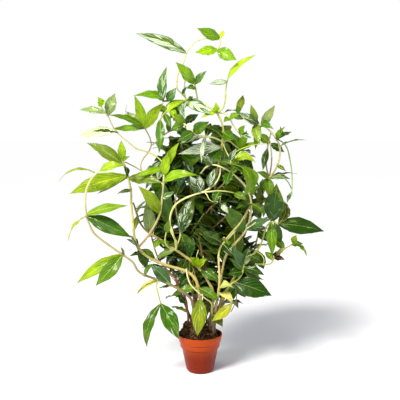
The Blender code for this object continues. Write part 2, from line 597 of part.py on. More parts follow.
def leaf_object(name, blade, home):
    """A leaf as a loft of thin diamonds, edge, rib, edge, rib, drawn out to a point."""
    shape = bmesh.new()
    rings = []
    size = (blade["tip"] - blade["base"]).length / MM
    places = next(places for least, places in LEAF_RINGS if size >= least)
    for number, along in enumerate(places):
        wave = LEAF_WAVE * half_width(blade, along) * (1 if number % 2 else -1)
        rib = blade["facing"] * (RIB_HALF * MM * (1 - 0.45 * along))
        middle = leaf_point(blade, along, 0)
        lift = blade["facing"] * wave
        corners = (leaf_point(blade, along, -1) + lift, middle + rib,
                   leaf_point(blade, along, 1) - lift, middle - rib)
        rings.append([shape.verts.new(corner) for corner in corners])
    point = shape.verts.new(blade["tip"])
    shape.faces.new(rings[0])
    for lower, upper in zip(rings, rings[1:]):
        for corner in range(4):
            join_quad(shape, lower, upper, corner)
    for corner in range(4):
        shape.faces.new((rings[-1][corner], rings[-1][(corner + 1) % 4], point))
    bmesh.ops.recalc_face_normals(shape, faces=shape.faces)
    mesh = bpy.data.meshes.new(name)
    shape.to_mesh(mesh)
    shape.free()
    return add_object(name, mesh, home)


def join_quad(shape, lower, upper, corner):
    """Two triangles between two rings, split from the edge so that both faces match."""
    after = (corner + 1) % 4
    if corner % 2:
        shape.faces.new((lower[corner], lower[after], upper[after]))
        shape.faces.new((lower[corner], upper[after], upper[corner]))
    else:
        shape.faces.new((lower[corner], lower[after], upper[corner]))
        shape.faces.new((lower[after], upper[after], upper[corner]))


def make_shoot(name, plan, parts, repeats):
    """Joins a shoot's first stem with its other stems and all its leaves, as one body."""
    helpers = []
    for number, (each, line) in enumerate(zip(plan["stems"], plan["lines"])):
        piece = f"{name}_stem_{number}"
        helpers.append(stem_object(piece, line, each["thick"], each["thin"], repeats))
    for number, blade in enumerate(plan["blades"]):
        helpers.append(leaf_object(f"{name}_leaf_{number}", blade, repeats))
    body = helpers.pop(0)
    repeats.objects.unlink(body)
    parts.objects.link(body)
    body.name = name
    join = body.modifiers.new("join", "BOOLEAN")
    join.operation = "UNION"
    join.solver = "MANIFOLD"
    join.operand_type = "COLLECTION"
    join.collection = repeats
    graph = bpy.context.evaluated_depsgraph_get()
    body.data = bpy.data.meshes.new_from_object(body.evaluated_get(graph))
    body.modifiers.clear()
    for helper in helpers:
        bpy.data.objects.remove(helper)
    body.data.materials.clear()
    body.data.materials.append(material("leaf_green", (0.10, 0.24, 0.03), 0.42))
    return body


def material(name, colour, roughness):
    """A plain material of this colour, made once."""
    found = bpy.data.materials.get(name)
    if found:
        return found
    made = bpy.data.materials.new(name)
    made.use_nodes = True
    surface = made.node_tree.nodes["Principled BSDF"]
    surface.inputs["Base Color"].default_value = (*colour, 1.0)
    surface.inputs["Roughness"].default_value = roughness
    surface.inputs["Metallic"].default_value = 0.0
    return made


def turned(name, profile, sides, home):
    """A body turned about the Z axis from a profile that runs down its outer side."""
    mesh = bpy.data.meshes.new(name)
    verts = [(radius * MM, 0.0, height * MM) for radius, height in profile]
    edges = [(step, step + 1) for step in range(len(verts) - 1)]
    mesh.from_pydata(verts, edges, [])
    body = add_object(name, mesh, home)
    screw = body.modifiers.new("turn", "SCREW")
    screw.steps = sides
    screw.render_steps = sides
    screw.use_merge_vertices = True
    screw.merge_threshold = 0.00001
    screw.use_normal_calculate = True
    return body


def round_cutter(name, radius, low, high, place, home):
    """An upright round cutter."""
    mesh = bpy.data.meshes.new(name)
    shape = bmesh.new()
    bmesh.ops.create_cone(shape, cap_ends=True, segments=HOLE_SIDES, radius1=radius * MM,
                          radius2=radius * MM, depth=(high - low) * MM)
    shape.to_mesh(mesh)
    shape.free()
    cutter = add_object(name, mesh, home)
    cutter.location = Vector((place[0], place[1], (low + high) / 2)) * MM
    cutter.hide_render = True
    cutter.display_type = "WIRE"
    return cutter


def cut_away(body, cutters):
    """Takes a whole collection of cutters out of the body."""
    cut = body.modifiers.new("cut", "BOOLEAN")
    cut.operation = "DIFFERENCE"
    cut.operand_type = "COLLECTION"
    cut.collection = cutters


def make_pot(parts, cutters):
    """The pot: inside from the centre up to the rim, outside down to the foot."""
    pot = turned("pot", [*reversed(POT_INSIDE), *reversed(POT_OUTSIDE)], POT_SIDES, parts)
    for number in range(DRAIN_HOLES):
        angle = math.radians(45) + math.tau * number / DRAIN_HOLES
        place = (DRAIN_RING * math.cos(angle), DRAIN_RING * math.sin(angle))
        round_cutter(f"drain_{number}", DRAIN_RADIUS, -2, 4, place, cutters)
    cut_away(pot, cutters)
    pot.data.materials.append(material("pot_plastic", (0.47, 0.06, 0.015), 0.4))
    pot.data.shade_smooth()
    return pot


def make_soil(parts, cutters, plans):
    """The soil, turned, then made lumpy by a seeded draw on its mound, with stem holes."""
    profile = [*reversed(SOIL_MOUND), *reversed(SOIL_EDGE), (0.0, SOIL_EDGE[0][1])]
    soil = turned("soil", profile, SOIL_SIDES, parts)
    graph = bpy.context.evaluated_depsgraph_get()
    soil.data = bpy.data.meshes.new_from_object(soil.evaluated_get(graph))
    soil.modifiers.clear()
    draw = random.Random(11)
    for vertex in soil.data.vertices:
        if vertex.co.z > SOIL_MOUND[0][1] * MM - 0.0001:
            vertex.co.z += draw.uniform(-SOIL_LUMP, SOIL_LUMP) * MM
            vertex.co.z += SOIL_SLOPE * (vertex.co.y - vertex.co.x)
    for name, plan in plans.items():
        foot = plan["stems"][0]
        radius = foot["thick"] + SLEEVE
        round_cutter(f"{name}_hole", radius, HOLE_FLOOR, 70, foot["foot"], cutters)
    cut_away(soil, cutters)
    soil.data.materials.append(material("soil_brown", (0.05, 0.022, 0.01), 0.9))
    return soil


def main():
    for obj in list(bpy.data.objects):
        bpy.data.objects.remove(obj)
    parts = bpy.data.collections.new("potted_hygrophila")
    drains = bpy.data.collections.new("drain_cutters")
    holes = bpy.data.collections.new("stem_hole_cutters")
    repeats = bpy.data.collections.new("repeats")
    for group in (parts, drains, holes, repeats):
        bpy.context.scene.collection.children.link(group)
    for group in (drains, holes, repeats):
        group.hide_render = True
    plans = plan_plant()
    make_pot(parts, drains)
    make_soil(parts, holes, plans)
    for name, plan in plans.items():
        make_shoot(name, plan, parts, repeats)
    bpy.data.collections.remove(repeats)


main()
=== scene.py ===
import itertools
import math
import random

import bmesh
import bpy
from mathutils import Matrix, Vector, noise
from mathutils.geometry import intersect_point_line


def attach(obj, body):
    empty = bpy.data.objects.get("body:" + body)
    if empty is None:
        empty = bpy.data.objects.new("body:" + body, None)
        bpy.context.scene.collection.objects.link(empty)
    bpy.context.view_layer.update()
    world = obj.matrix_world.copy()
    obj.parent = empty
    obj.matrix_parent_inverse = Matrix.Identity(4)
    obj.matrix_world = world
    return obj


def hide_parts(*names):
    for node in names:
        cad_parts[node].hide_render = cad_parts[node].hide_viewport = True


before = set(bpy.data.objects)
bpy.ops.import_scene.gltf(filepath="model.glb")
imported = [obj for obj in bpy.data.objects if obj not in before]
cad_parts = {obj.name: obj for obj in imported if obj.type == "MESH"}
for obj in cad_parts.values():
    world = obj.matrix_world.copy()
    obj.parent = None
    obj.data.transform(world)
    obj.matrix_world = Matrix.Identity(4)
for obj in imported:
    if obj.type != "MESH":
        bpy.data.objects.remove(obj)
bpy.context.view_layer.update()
mm = 0.001
tiny = 0.01 * mm
upward = Vector((0.0, 0.0, 1.0))
seeds = {"rule": 0, "habits": 100, "stems": 300, "thicket": 500, "chips": 21}

# The camera stands where the plant's points were sighted from
view = {"eye": (0.0, -865.2, 340.9), "focal": 55.0, "pitch": 6.0}
eye = Vector(view["eye"]) * mm


def linear(colour):
    # screen colour to the linear light that the nodes work in
    return tuple(c / 12.92 if c <= 0.04045 else ((c + 0.055) / 1.055) ** 2.4 for c in colour)


def shade(colour):
    return (*linear(colour), 1.0)


def between(low, high, share):
    return low + (high - low) * share


def shareOf(value, low, high):
    # 0 at low and below, 1 at high and above
    return min(1.0, max(0.0, (value - low) / (high - low)))


# What each leaf and stem is coloured like, as seen on a screen in even light
leafTones = {
    "young": (0.68, 0.86, 0.05),
    "lime": (0.61, 0.76, 0.03),
    "fresh": (0.52, 0.69, 0.03),
    "apple": (0.56, 0.69, 0.03),
    "grass": (0.39, 0.55, 0.05),
    "moss": (0.45, 0.56, 0.16),
    "sage": (0.52, 0.60, 0.38),
    "ivory": (0.76, 0.80, 0.64),
    "sea": (0.29, 0.45, 0.27),
    "dark": (0.26, 0.43, 0.03),
    "deep": (0.17, 0.32, 0.02),
    "olive": (0.38, 0.43, 0.10),
    "yellow": (0.72, 0.75, 0.13),
    "butter": (0.86, 0.86, 0.50),
    "glint": (0.25, 0.45, 0.02),
    "gold": (0.55, 0.61, 0.08),
    "dry": (0.24, 0.16, 0.08),
    "pale": (0.50, 0.63, 0.26),
    "cream": (0.24, 0.36, 0.13),
    "mint": (0.31, 0.48, 0.20),
    "silver": (0.22, 0.36, 0.15),
    "grey": (0.29, 0.43, 0.15),
}
# how much of a blade is streaked pale with painted glints and some pale variegation; the tones that
# aren't named have only a little
paleStreaks = {"cream": 0.95, "silver": 0.75, "mint": 0.6, "ivory": 0.6, "grey": 0.5, "pale": 0.45,
               "glint": 0.42, "gold": 0.3, "yellow": 0.3, "butter": 0.3, "sage": 0.3, "sea": 0.3,
               "deep": 0.22, "moss": 0.15, "dark": 0.1}
littleStreaked = 0.05
stemTones = {
    "cream": (0.86, 0.87, 0.63),
    "straw": (0.78, 0.78, 0.45),
    "tan": (0.66, 0.56, 0.30),
    "bark": (0.50, 0.40, 0.20),
    "umber": (0.36, 0.27, 0.13),
    "red": (0.50, 0.29, 0.22),
    "leafy": (0.70, 0.77, 0.34),
    "grassy": (0.40, 0.52, 0.22),
    "forest": (0.20, 0.36, 0.16),
}


# In these tables a place is how far right and how high it is seen, and how deep it lies, in mm
def stem(low, high, thick, thin, *route, foot=None, pairs=None):
    # tone at the foot and at the tip, two radii, sighted route, and where it leaves the soil;
    # pairs says where the leaves of the rule start, how far apart they are and how long
    return {"tones": (low, high), "thick": thick, "thin": thin, "route": route, "foot": foot,
            "pairs": pairs}


def leaf(tone, base, tip, width, turn=15, arch=0.08, bend=None):
    # turn is in degrees about the leaf's length; arch lifts its middle and bend sways it sideways
    return {"tone": tone, "base": base, "tip": tip, "width": width, "turn": turn, "arch": arch,
            "bend": bend}


# Long low loop to the left, with two leaves that hang before the pot
leftLoop = {
    "stems": (
        stem("umber", "cream", 1.9, 1.1, (-11, 100, -16), (-19, 112, -17), (-30, 120, -18),
             (-45, 128, -18), (-60, 134, -18), (-80, 141, -17), (-90, 148, -16), (-97, 160, -15),
             (-113, 172, -14), (-130, 184, -12), (-150, 200, -10), (-158, 214, -10),
             (-162, 228, -10), (-163.5, 245, -12), (-162, 262, -12), (-156, 277, -12),
             (-147, 288, -10), (-139, 294, -8), foot=(-8, -14)),
        stem("straw", "leafy", 1.2, 0.9, (-60, 134, -18), (-63, 124, -21), (-60, 111, -23),
             (-57, 99, -24)),
    ),
    "leaves": (
        leaf("lime", (-113, 171, -14), (-179, 128, -20), 15, 20, 0.05),
        leaf("grass", (-112, 170, -14), (-151, 125, -27), 18, 12),
        leaf("fresh", (-109, 170, -14), (-114, 183, -16), 4, 50),
        leaf("yellow", (-162, 227, -10), (-189, 184, -18), 11, 76, 0.16),
        leaf("apple", (-161, 229, -10), (-103, 242, -22), 12, 30, 0.07),
        leaf("dark", (-160, 227, -10), (-98, 196, -18), 19, 12, 0.05),
        leaf("yellow", (-60, 134, -18), (-93, 110, -26), 9, 72, 0.14),
        leaf("dark", (-57, 99, -24), (-77, 33, -30), 13, 24, 0.24),
        leaf("glint", (-57, 99, -24), (-31, 46, -30), 20, 6, 0.07),
        leaf("lime", (-142, 293, -9), (-106, 299, -14), 12, 32, 0.16),
        leaf("dark", (-80, 141, -17), (-66, 158, -24), 8, 40, 0.1),
        leaf("yellow", (-147, 288, -10), (-202, 275, -14), 8, 72, 0.22),
    ),
}

# The thick main stem to the left, which forks into a tall straight run and a winding one
leftMain = {
    "stems": (
        stem("tan", "straw", 2.4, 1.2, (1, 100, -7), (-3, 124, -6), (-8, 137, -4), (-20, 147, 0),
             (-40, 153, 2), (-60, 160, 3), (-75, 168, 3), (-89, 181, 2), (-94, 198, 2),
             (-96, 220, 2), (-98, 245, 3), (-98, 262, 3), (-102, 282, 3), (-106, 296, 2),
             (-110, 308, 0), foot=(2, -6)),
        stem("tan", "cream", 1.5, 1.1, (-89, 181, 2), (-76, 196, 3), (-64, 215, 3), (-57, 231, 2),
             (-54, 252, 1), (-52, 272, 0), (-51, 286, 0)),
        stem("leafy", "straw", 0.9, 0.7, (-51, 286, 0), (-50, 298, 3), (-58, 309, 6), (-69, 316, 8),
             (-80, 320, 8), (-90, 323, 8), (-100, 331, 8), (-112, 341, 8), (-122, 353, 6),
             (-128, 366, 4), (-133, 373, 3), (-140, 384, 0)),
        stem("straw", "tan", 0.9, 0.8, (-52, 272, 0), (-62, 280, 4), (-73, 286, 6), (-82, 291, 8),
             (-84, 300, 9), (-80, 309, 12), (-73, 318, 13), (-69, 327, 12), (-70, 336, 10),
             (-74, 345, 8), (-78, 352, 6)),
        stem("leafy", "grassy", 0.8, 0.7, (-82, 291, 8), (-94, 298, 6), (-106, 304, 1)),
        stem("straw", "bark", 0.8, 0.8, (-69, 327, 12), (-57, 336, 14), (-45, 346, 16),
             (-31, 351, 18), (-21, 361, 20)),
    ),
    "leaves": (
        leaf("grass", (-4, 123, -6), (-43, 109, -6), 10, 35),
        leaf("grass", (-3, 122, -6), (29, 103, -20), 12, 25),
        leaf("gold", (1, 107, -7), (-4, 50, -27), 19, 0, 0.1),
        leaf("grass", (-86, 178, 2), (-64, 165, 12), 10, 20),
        leaf("deep", (-84, 174, 3), (-101, 169, -5), 5, 30),
        leaf("dark", (-90, 180, 3), (-77, 151, 12), 13, 10),
        leaf("mint", (-90, 180, 2), (-106, 194, -6), 7, 50, 0.16),
        leaf("silver", (-91, 181, 2), (-101, 199, 8), 7, 40, 0.16),
        leaf("moss", (-102, 281, 3), (-54, 274, -8), 15, 20, 0.06),
        leaf("apple", (-103, 285, 3), (-185, 259, 2), 21, 8, 0.1),
        leaf("moss", (-107, 299, 2), (-160, 331, 5), 16, 18, 0.1),
        leaf("lime", (-110, 307, 0), (-111, 335, -3), 10, 8, 0.05),
        leaf("grass", (-109, 306, 0), (-99, 312, -4), 5, 40),
        leaf("deep", (-106, 297, 2), (-104, 280, -11), 7, 30, 0.16),
        leaf("apple", (-58, 231, 2), (-88, 270, -7), 16, 15, 0.1),
        leaf("grass", (-57, 231, 2), (-47, 226, 14), 7, 40, 0.12),
        leaf("lime", (-52, 276, 0), (-3, 285, -14), 13, 28, 0.2),
        leaf("lime", (-51, 284, 0), (-45, 318, -5), 12, 12),
        leaf("lime", (-50, 296, 3), (-29, 332, -4), 11, 20),
        leaf("lime", (-50, 295, 2), (-93, 283, -6), 8, 30),
        leaf("dark", (-52, 274, 0), (-46, 213, 11), 20, -12, 0.07),
        leaf("young", (-139, 382, 0), (-143, 395, -4), 9, 20, 0.16),
        leaf("young", (-138, 381, 0), (-133, 390, 5), 7, 40, 0.16),
        leaf("sage", (-133, 373, 3), (-169, 377, 8), 9, 30),
        leaf("sage", (-129, 369, 4), (-119, 400, 10), 14, 10),
        leaf("ivory", (-118, 348, 7), (-171, 341, 18), 14, 32),
        leaf("deep", (-116, 345, 8), (-153, 347, -6), 8, 68, 0.06),
        leaf("fresh", (-78, 351, 6), (-92, 398, 1), 12, 6, 0.06),
        leaf("apple", (-77, 351, 6), (-51, 387, 2), 14, 10),
        leaf("grass", (-78, 351, 6), (-128, 370, -8), 9, 40),
        leaf("grass", (-78, 351, 6), (-123, 351, 16), 9, 34, 0.04),
        leaf("deep", (-31, 351, 18), (-13, 338, 6), 12, 20),
        leaf("dark", (-44, 347, 16), (-42, 366, 12), 7, 20),
        leaf("deep", (-23, 360, 20), (-2, 371, 20), 10, 20),
        leaf("dark", (-23, 360, 20), (-44, 374, 24), 11, 20),
    ),
}

# A stem that forks low, sends one arm left behind the others and two arcs up to the right
leftInner = {
    "stems": (
        stem("straw", "bark", 2.0, 1.1, (19, 113, -2), (12, 131, -1), (2, 147, 0), (-10, 160, 1),
             (-22, 169, 3), (-35, 178, 4), (-48, 187, 7), (-60, 195, 10), (-72, 202, 12),
             (-80, 209, 13), (-87, 220, 13), (-91, 233, 13), (-95, 246, 12), foot=(14, -2)),
        stem("straw", "cream", 1.5, 0.9, (-35, 178, 4), (-34, 188, 1), (-38, 198, -1),
             (-42, 208, -1), (-43, 220, -1), (-41, 232, -2), (-35, 243, -4), (-24, 251, -6),
             (-10, 257, -7), (2, 261, -7), (14, 267, -7), (23, 275, -6), (28, 286, -5), (29, 296, -6)),
        stem("straw", "cream", 1.1, 0.8, (-35, 178, 4), (-31, 189, 7), (-28, 201, 9), (-30, 213, 10),
             (-33, 228, 11), (-35, 245, 12), (-34, 259, 12)),
        stem("straw", "leafy", 1.0, 0.8, (-35, 178, 4), (-43, 180, 1), (-49, 187, -4),
             (-50, 195, -7), (-48, 204, -8)),
        stem("cream", "leafy", 1.0, 0.7, (2, 261, -7), (14, 262, -9), (28, 263, -9), (40, 262, -8),
             (49, 260, -7)),
    ),
    "leaves": (
        leaf("lime", (-4, 155, 1), (10, 165, -9), 9, 20),
        leaf("lime", (-5, 156, 1), (-14, 168, -9), 9, 20),
        leaf("lime", (-4, 155, 1), (-3, 168, -12), 8, 10),
        leaf("dark", (0, 149, 0), (28, 132, -9), 13),
        leaf("pale", (-35, 178, 4), (-64, 165, 16), 8, 30),
        leaf("silver", (-28, 202, 9), (-7, 258, 4), 19, 12, 0.06),
        leaf("dark", (-29, 203, 9), (-14, 172, 14), 18, 0),
        leaf("grass", (-48, 203, -8), (-44, 222, -13), 8, 20),
        leaf("sage", (-71, 201, 12), (-77, 249, 8), 16, 10, 0.05),
        leaf("grey", (-69, 201, 12), (-50, 241, 20), 9, 30),
        leaf("olive", (-89, 227, 13), (-94, 205, 7), 7, 20),
        leaf("pale", (-90, 230, 13), (-74, 250, 8), 5, 50, 0.12),
        leaf("fresh", (-58, 194, 10), (-66, 179, 4), 8, 20),
        leaf("silver", (14, 267, -7), (22, 296, -15), 11),
        leaf("silver", (2, 261, -7), (-15, 285, -6), 12),
        leaf("silver", (0, 260, -7), (-2, 287, -10), 11),
        leaf("deep", (-34, 258, 12), (-22, 283, 12), 12, 20),
        leaf("dark", (-35, 257, 12), (-44, 281, 18), 11, 20),
        leaf("grass", (48, 260, -7), (66, 250, -13), 9, 25),
        leaf("dark", (28, 263, -9), (20, 245, -14), 11),
    ),
}

# A pale stem that rises straight by the pot's right side and then leans away
middleRight = {
    "stems": (
        stem("tan", "cream", 1.7, 1.0, (27, 118, -12), (28, 140, -10), (27, 160, -8), (27, 172, -6),
             (30, 183, -5), (37, 191, -3), (46, 201, 0), (56, 212, 4), (63, 224, 9), (68, 235, 13),
             (71, 244, 16), foot=(19, -11)),
        stem("straw", "leafy", 1.1, 0.9, (27, 116, -12), (38, 110, -17), (45, 103, -19),
             (46, 96, -20)),
    ),
    "leaves": (
        leaf("deep", (32, 187, -4), (-5, 205, -13), 14, 15, 0.1),
        leaf("deep", (33, 187, -4), (52, 166, -16), 13, 12, 0.1),
        leaf("butter", (27, 118, -12), (49, 122, -22), 13, 50, 0.34),
        leaf("yellow", (46, 99, -20), (17, 73, -26), 12, -14, 0.12),
        leaf("olive", (24, 88, -12), (33, 64, -24), 9, 20, 0.1),
        leaf("dark", (71, 243, 16), (58, 262, 12), 10, 20),
        leaf("grass", (56, 212, 4), (36, 226, 6), 12, 20),
    ),
}

# The long arch over the right side
rightArch = {
    "stems": (
        stem("tan", "cream", 1.9, 0.9, (24, 100, 10), (30, 135, 10), (35, 162, 8), (42, 178, 6),
             (51, 188, 4), (59, 197, 2), (66, 208, 1), (71, 222, 1), (73, 238, 1), (72, 252, 0),
             (67, 266, -2), (56, 279, -5), (43, 290, -7), (30, 297, -8), (18, 300, -6), (8, 296, -2),
             (1, 288, 4), foot=(15, 8)),
    ),
    "leaves": (
        leaf("sea", (66, 208, 1), (103, 223, -8), 11, 20),
        leaf("grey", (66, 207, 1), (97, 209, 12), 9, 20),
        leaf("dark", (64, 205, 1), (33, 243, -8), 20, 12, 0.06),
        leaf("grass", (72, 244, 0), (93, 228, -7), 9, 30, 0.16),
        leaf("dark", (72, 244, 0), (50, 237, -12), 9, 35, 0.1),
        leaf("grass", (70, 258, -1), (84, 270, -6), 9, 25),
        leaf("dark", (43, 290, -7), (36, 270, -15), 12, 20),
        leaf("grass", (42, 290, -7), (62, 303, -12), 12, 25),
        leaf("silver", (18, 300, -6), (2, 313, -12), 11, 20),
    ),
}

# The tallest shoot, from the middle of the pot to the topmost leaves
topShoot = {
    "stems": (
        stem("bark", "straw", 2.1, 1.2, (6, 100, 14), (8, 150, 18), (12, 200, 20), (17, 240, 18),
             (22, 275, 14), (26, 300, 10), (30, 320, 6), (31, 333, 4), (33, 346, 3), (31, 358, 2),
             (27, 367, 2), (24, 373, 2), foot=(4, 10), pairs=(88, 58, 50)),
        stem("straw", "leafy", 1.2, 0.9, (24, 373, 2), (15, 379, 3), (6, 385, 5), (-4, 389, 7),
             (-18, 391, 9), (-33, 390, 10), (-53, 389, 10)),
        stem("leafy", "straw", 0.9, 0.8, (-18, 391, 9), (-30, 386, 7), (-41, 380, 5), (-50, 372, 3),
             (-57, 363, 0)),
        stem("leafy", "leafy", 0.9, 0.8, (24, 373, 2), (32, 379, 2), (35, 390, 1), (36, 403, 0),
             (38, 418, 0)),
        stem("straw", "leafy", 0.9, 0.7, (24, 373, 2), (34, 372, 0), (41, 366, -2), (46, 357, -3),
             (52, 348, -3), (58, 341, -3)),
        stem("straw", "cream", 1.3, 0.8, (31, 333, 4), (20, 338, 0), (8, 340, -3), (-3, 341, -5),
             (-10, 347, -6), (-17, 354, -6), (-23, 358, -5)),
        stem("straw", "leafy", 1.0, 0.8, (31, 333, 4), (40, 334, 7), (48, 328, 10), (57, 321, 12)),
        stem("leafy", "straw", 0.8, 0.7, (31, 333, 4), (36, 321, -1), (41, 311, -6), (43, 301, -14)),
        stem("straw", "cream", 0.9, 0.7, (-18, 391, 9), (-25, 399, 8), (-32, 407, 6), (-32, 420, 5),
             (-29, 431, 5), (-23, 442, 4), (-19, 455, 3), (-13, 463, 2), (-7, 470, 1), (2, 474, 0),
             (14, 475, 0), (28, 475, 0)),
        stem("leafy", "leafy", 0.8, 0.7, (28, 475, 0), (28, 467, -2), (24, 459, -3)),
        stem("straw", "tan", 1.1, 0.9, (-3, 389, 7), (-5, 400, 6), (-8, 415, 5)),
    ),
    "leaves": (
        leaf("cream", (-20, 456, 3), (-89, 482, -2), 14, 18, 0.04),
        leaf("grass", (28, 475, 0), (-4, 489, -5), 13, 15, 0.06),
        leaf("young", (28, 475, 0), (33, 486, 3), 6, 30),
        leaf("fresh", (24, 460, -3), (-7, 456, -9), 11, 15, 0.06),
        leaf("grass", (24, 460, -3), (51, 446, -9), 15, 12, 0.06),
        leaf("grass", (-8, 413, 5), (-34, 443, -1), 14, 14),
        leaf("grey", (-8, 413, 5), (9, 431, -2), 9, 30),
        leaf("dark", (-7, 408, 5), (-19, 407, -4), 8, 40),
        leaf("mint", (-52, 389, 10), (-46, 437, 4), 12, 16, 0.12),
        leaf("grey", (-46, 389, 10), (-33, 408, 3), 11, 12),
        leaf("grass", (-51, 389, 10), (-93, 397, -7), 12, 40, 0.2),
        leaf("silver", (-18, 391, 9), (15, 371, -8), 14, 6, 0.05),
        leaf("young", (22, 374, 2), (22, 388, -4), 8, 20, 0.16),
        leaf("lime", (22, 373, 2), (2, 366, -7), 8, 40, 0.1),
        leaf("dark", (-56, 364, 0), (-58, 316, -10), 11, 10),
        leaf("apple", (38, 417, 0), (78, 453, -6), 10, 50, 0.16),
        leaf("cream", (30, 326, 6), (-31, 315, -9), 15, 18, 0.06),
        leaf("dark", (30, 325, 6), (13, 303, 16), 12, 14),
        leaf("dark", (-10, 347, -6), (13, 361, -16), 14, 14),
        leaf("grey", (-9, 346, -6), (-32, 333, -16), 12, 14),
        leaf("grass", (-22, 358, -5), (-37, 372, -8), 12, 14),
        leaf("dark", (-22, 357, -5), (-41, 349, -2), 11, 20),
        leaf("dark", (33, 346, 3), (50, 335, -8), 14, 12),
        leaf("deep", (33, 346, 3), (12, 352, 12), 12, 20),
        leaf("grass", (42, 365, -2), (33, 360, -9), 7, 30, 0.12),
        leaf("grass", (42, 366, -2), (56, 371, -10), 7, 25),
        leaf("grass", (56, 343, -3), (63, 356, -8), 8, 20),
        leaf("grey", (56, 342, -3), (72, 338, -9), 8, 25),
        leaf("fresh", (56, 321, 12), (66, 349, 6), 10, 12),
        leaf("dark", (56, 322, 12), (46, 345, 14), 12),
        leaf("silver", (43, 303, -12), (52, 324, -20), 8, 20),
        leaf("grass", (43, 303, -13), (61, 252, -22), 17, 62, 0.36),
        leaf("lime", (57, 321, 12), (84, 331, 4), 8, 45, 0.1),
    ),
}

# The rings of bare stem at the right, with their crown of leaves
rightLoops = {
    "stems": (
        stem("tan", "cream", 1.9, 0.9, (30, 100, 26), (48, 150, 32), (64, 200, 34), (80, 240, 30),
             (92, 265, 22), (98, 281, 14), (103, 287, 12), (110, 300, 8), (113, 314, 5),
             (112, 327, 3), (107, 337, 2), (100, 346, 2), (92, 353, 2), (83, 356, 3), (72, 358, 4),
             (62, 365, 4), (54, 374, 3), foot=(13, 16), pairs=(85, 62, 46)),
        stem("tan", "straw", 1.1, 0.9, (98, 281, 14), (94, 297, 17), (94, 312, 17), (96, 328, 14),
             (100, 345, 4)),
        stem("tan", "cream", 1.0, 0.8, (98, 281, 14), (101, 300, 20), (101, 316, 22), (99, 331, 22)),
        stem("forest", "leafy", 0.8, 0.7, (107, 337, 2), (116, 332, -4), (123, 323, -6),
             (127, 308, -6), (130, 290, -6), (131, 271, -6), (130, 259, -6)),
    ),
    "leaves": (
        leaf("sage", (86, 355, 3), (105, 384, -2), 11, 12),
        leaf("moss", (79, 357, 3), (71, 385, 0), 9, 12, 0.06),
        leaf("dark", (88, 355, 3), (104, 350, -11), 10, 20, 0.24),
        leaf("sage", (84, 356, 3), (58, 372, 10), 10, 20),
        leaf("grey", (62, 365, 4), (44, 369, 10), 8, 25),
        leaf("grass", (55, 373, 3), (51, 384, -2), 7, 20),
        leaf("moss", (77, 357, 3), (84, 329, -5), 12, 10),
        leaf("grass", (98, 281, 14), (98, 252, 8), 12, 10, 0.1),
        leaf("mint", (99, 281, 14), (128, 280, 6), 9, 45),
        leaf("grass", (97, 281, 14), (80, 290, 6), 8, 30),
        leaf("dark", (98, 280, 14), (84, 262, 18), 11),
        leaf("grass", (108, 335, 2), (120, 354, -5), 7, 30, 0.2),
        leaf("deep", (108, 335, 2), (129, 346, 8), 6, 45, 0.12),
        leaf("grey", (95, 322, 15), (89, 292, 10), 9, 25, 0.06),
        leaf("grass", (99, 330, 22), (78, 344, 20), 11),
        leaf("deep", (100, 330, 22), (119, 318, 24), 10, 25),
        leaf("grey", (130, 261, -6), (124, 246, -13), 6, 40),
    ),
}

# The shoot with the broadest leaves, low on the right, and its small side shoot
rightBroad = {
    "stems": (
        stem("bark", "leafy", 1.7, 1.0, (30, 95, 5), (45, 130, 9), (62, 155, 11), (82, 177, 8),
             (88, 188, 6), (92, 202, 4), (96, 213, 2), (104, 219, 0), (112, 215, 0), foot=(21.5, 3)),
        stem("leafy", "tan", 1.0, 0.8, (62, 155, 11), (75, 157, 9), (90, 157, 7), (102, 158, 4),
             (107, 167, 3), (114, 174, 2), (122, 180, 2), (129, 184, 2), (135, 188, 1)),
    ),
    "leaves": (
        leaf("deep", (103, 218, 0), (109, 274, -4), 25, 5, 0.06),
        leaf("grass", (101, 218, 0), (104, 169, -10), 13, 8, 0.06),
        leaf("dark", (106, 218, 0), (117, 188, 8), 11, 12),
        leaf("deep", (110, 216, 0), (178, 205, 0), 21, 8, 0.04),
        leaf("olive", (111, 215, 0), (118, 250, 14), 10, -70, 0.26),
        leaf("fresh", (134, 187, 1), (138, 200, -3), 9),
        leaf("grey", (132, 186, 1), (148, 187, -6), 7, 30),
        leaf("lime", (133, 187, 1), (154, 168, -5), 8, 60, 0.2),
        leaf("grass", (121, 179, 2), (107, 194, 8), 10, 20),
        leaf("dry", (107, 167, 3), (122, 164, -5), 7, 30),
        leaf("grass", (105, 163, 3), (93, 175, 12), 8, 20),
        leaf("dark", (75, 157, 9), (70, 140, 4), 10, 20),
    ),
}

# A short shoot low on the right, with one broad dark leaf that hangs out beside the pot
rightLow = {
    "stems": (
        stem("tan", "leafy", 1.6, 1.0, (28, 96, -4), (34, 113, -6), (44, 127, -8), (55, 135, -9),
             (61, 145, -8), (63, 158, -7), foot=(21.5, -4)),
    ),
    "leaves": (
        leaf("deep", (49, 131, -9), (104, 111, -18), 25, 8, 0.07),
        leaf("sea", (63, 156, -7), (47, 182, -16), 12),
        leaf("dark", (63, 157, -7), (89, 160, -18), 8, 62, 0.4),
        leaf("deep", (63, 155, -7), (86, 134, 0), 15, 10),
        leaf("deep", (61, 146, -8), (40, 142, -15), 12, 18),
        leaf("silver", (63, 157, -7), (72, 183, -6), 11, 18),
        leaf("deep", (62, 152, -7), (93, 141, -14), 10, 20, 0.14),
    ),
}

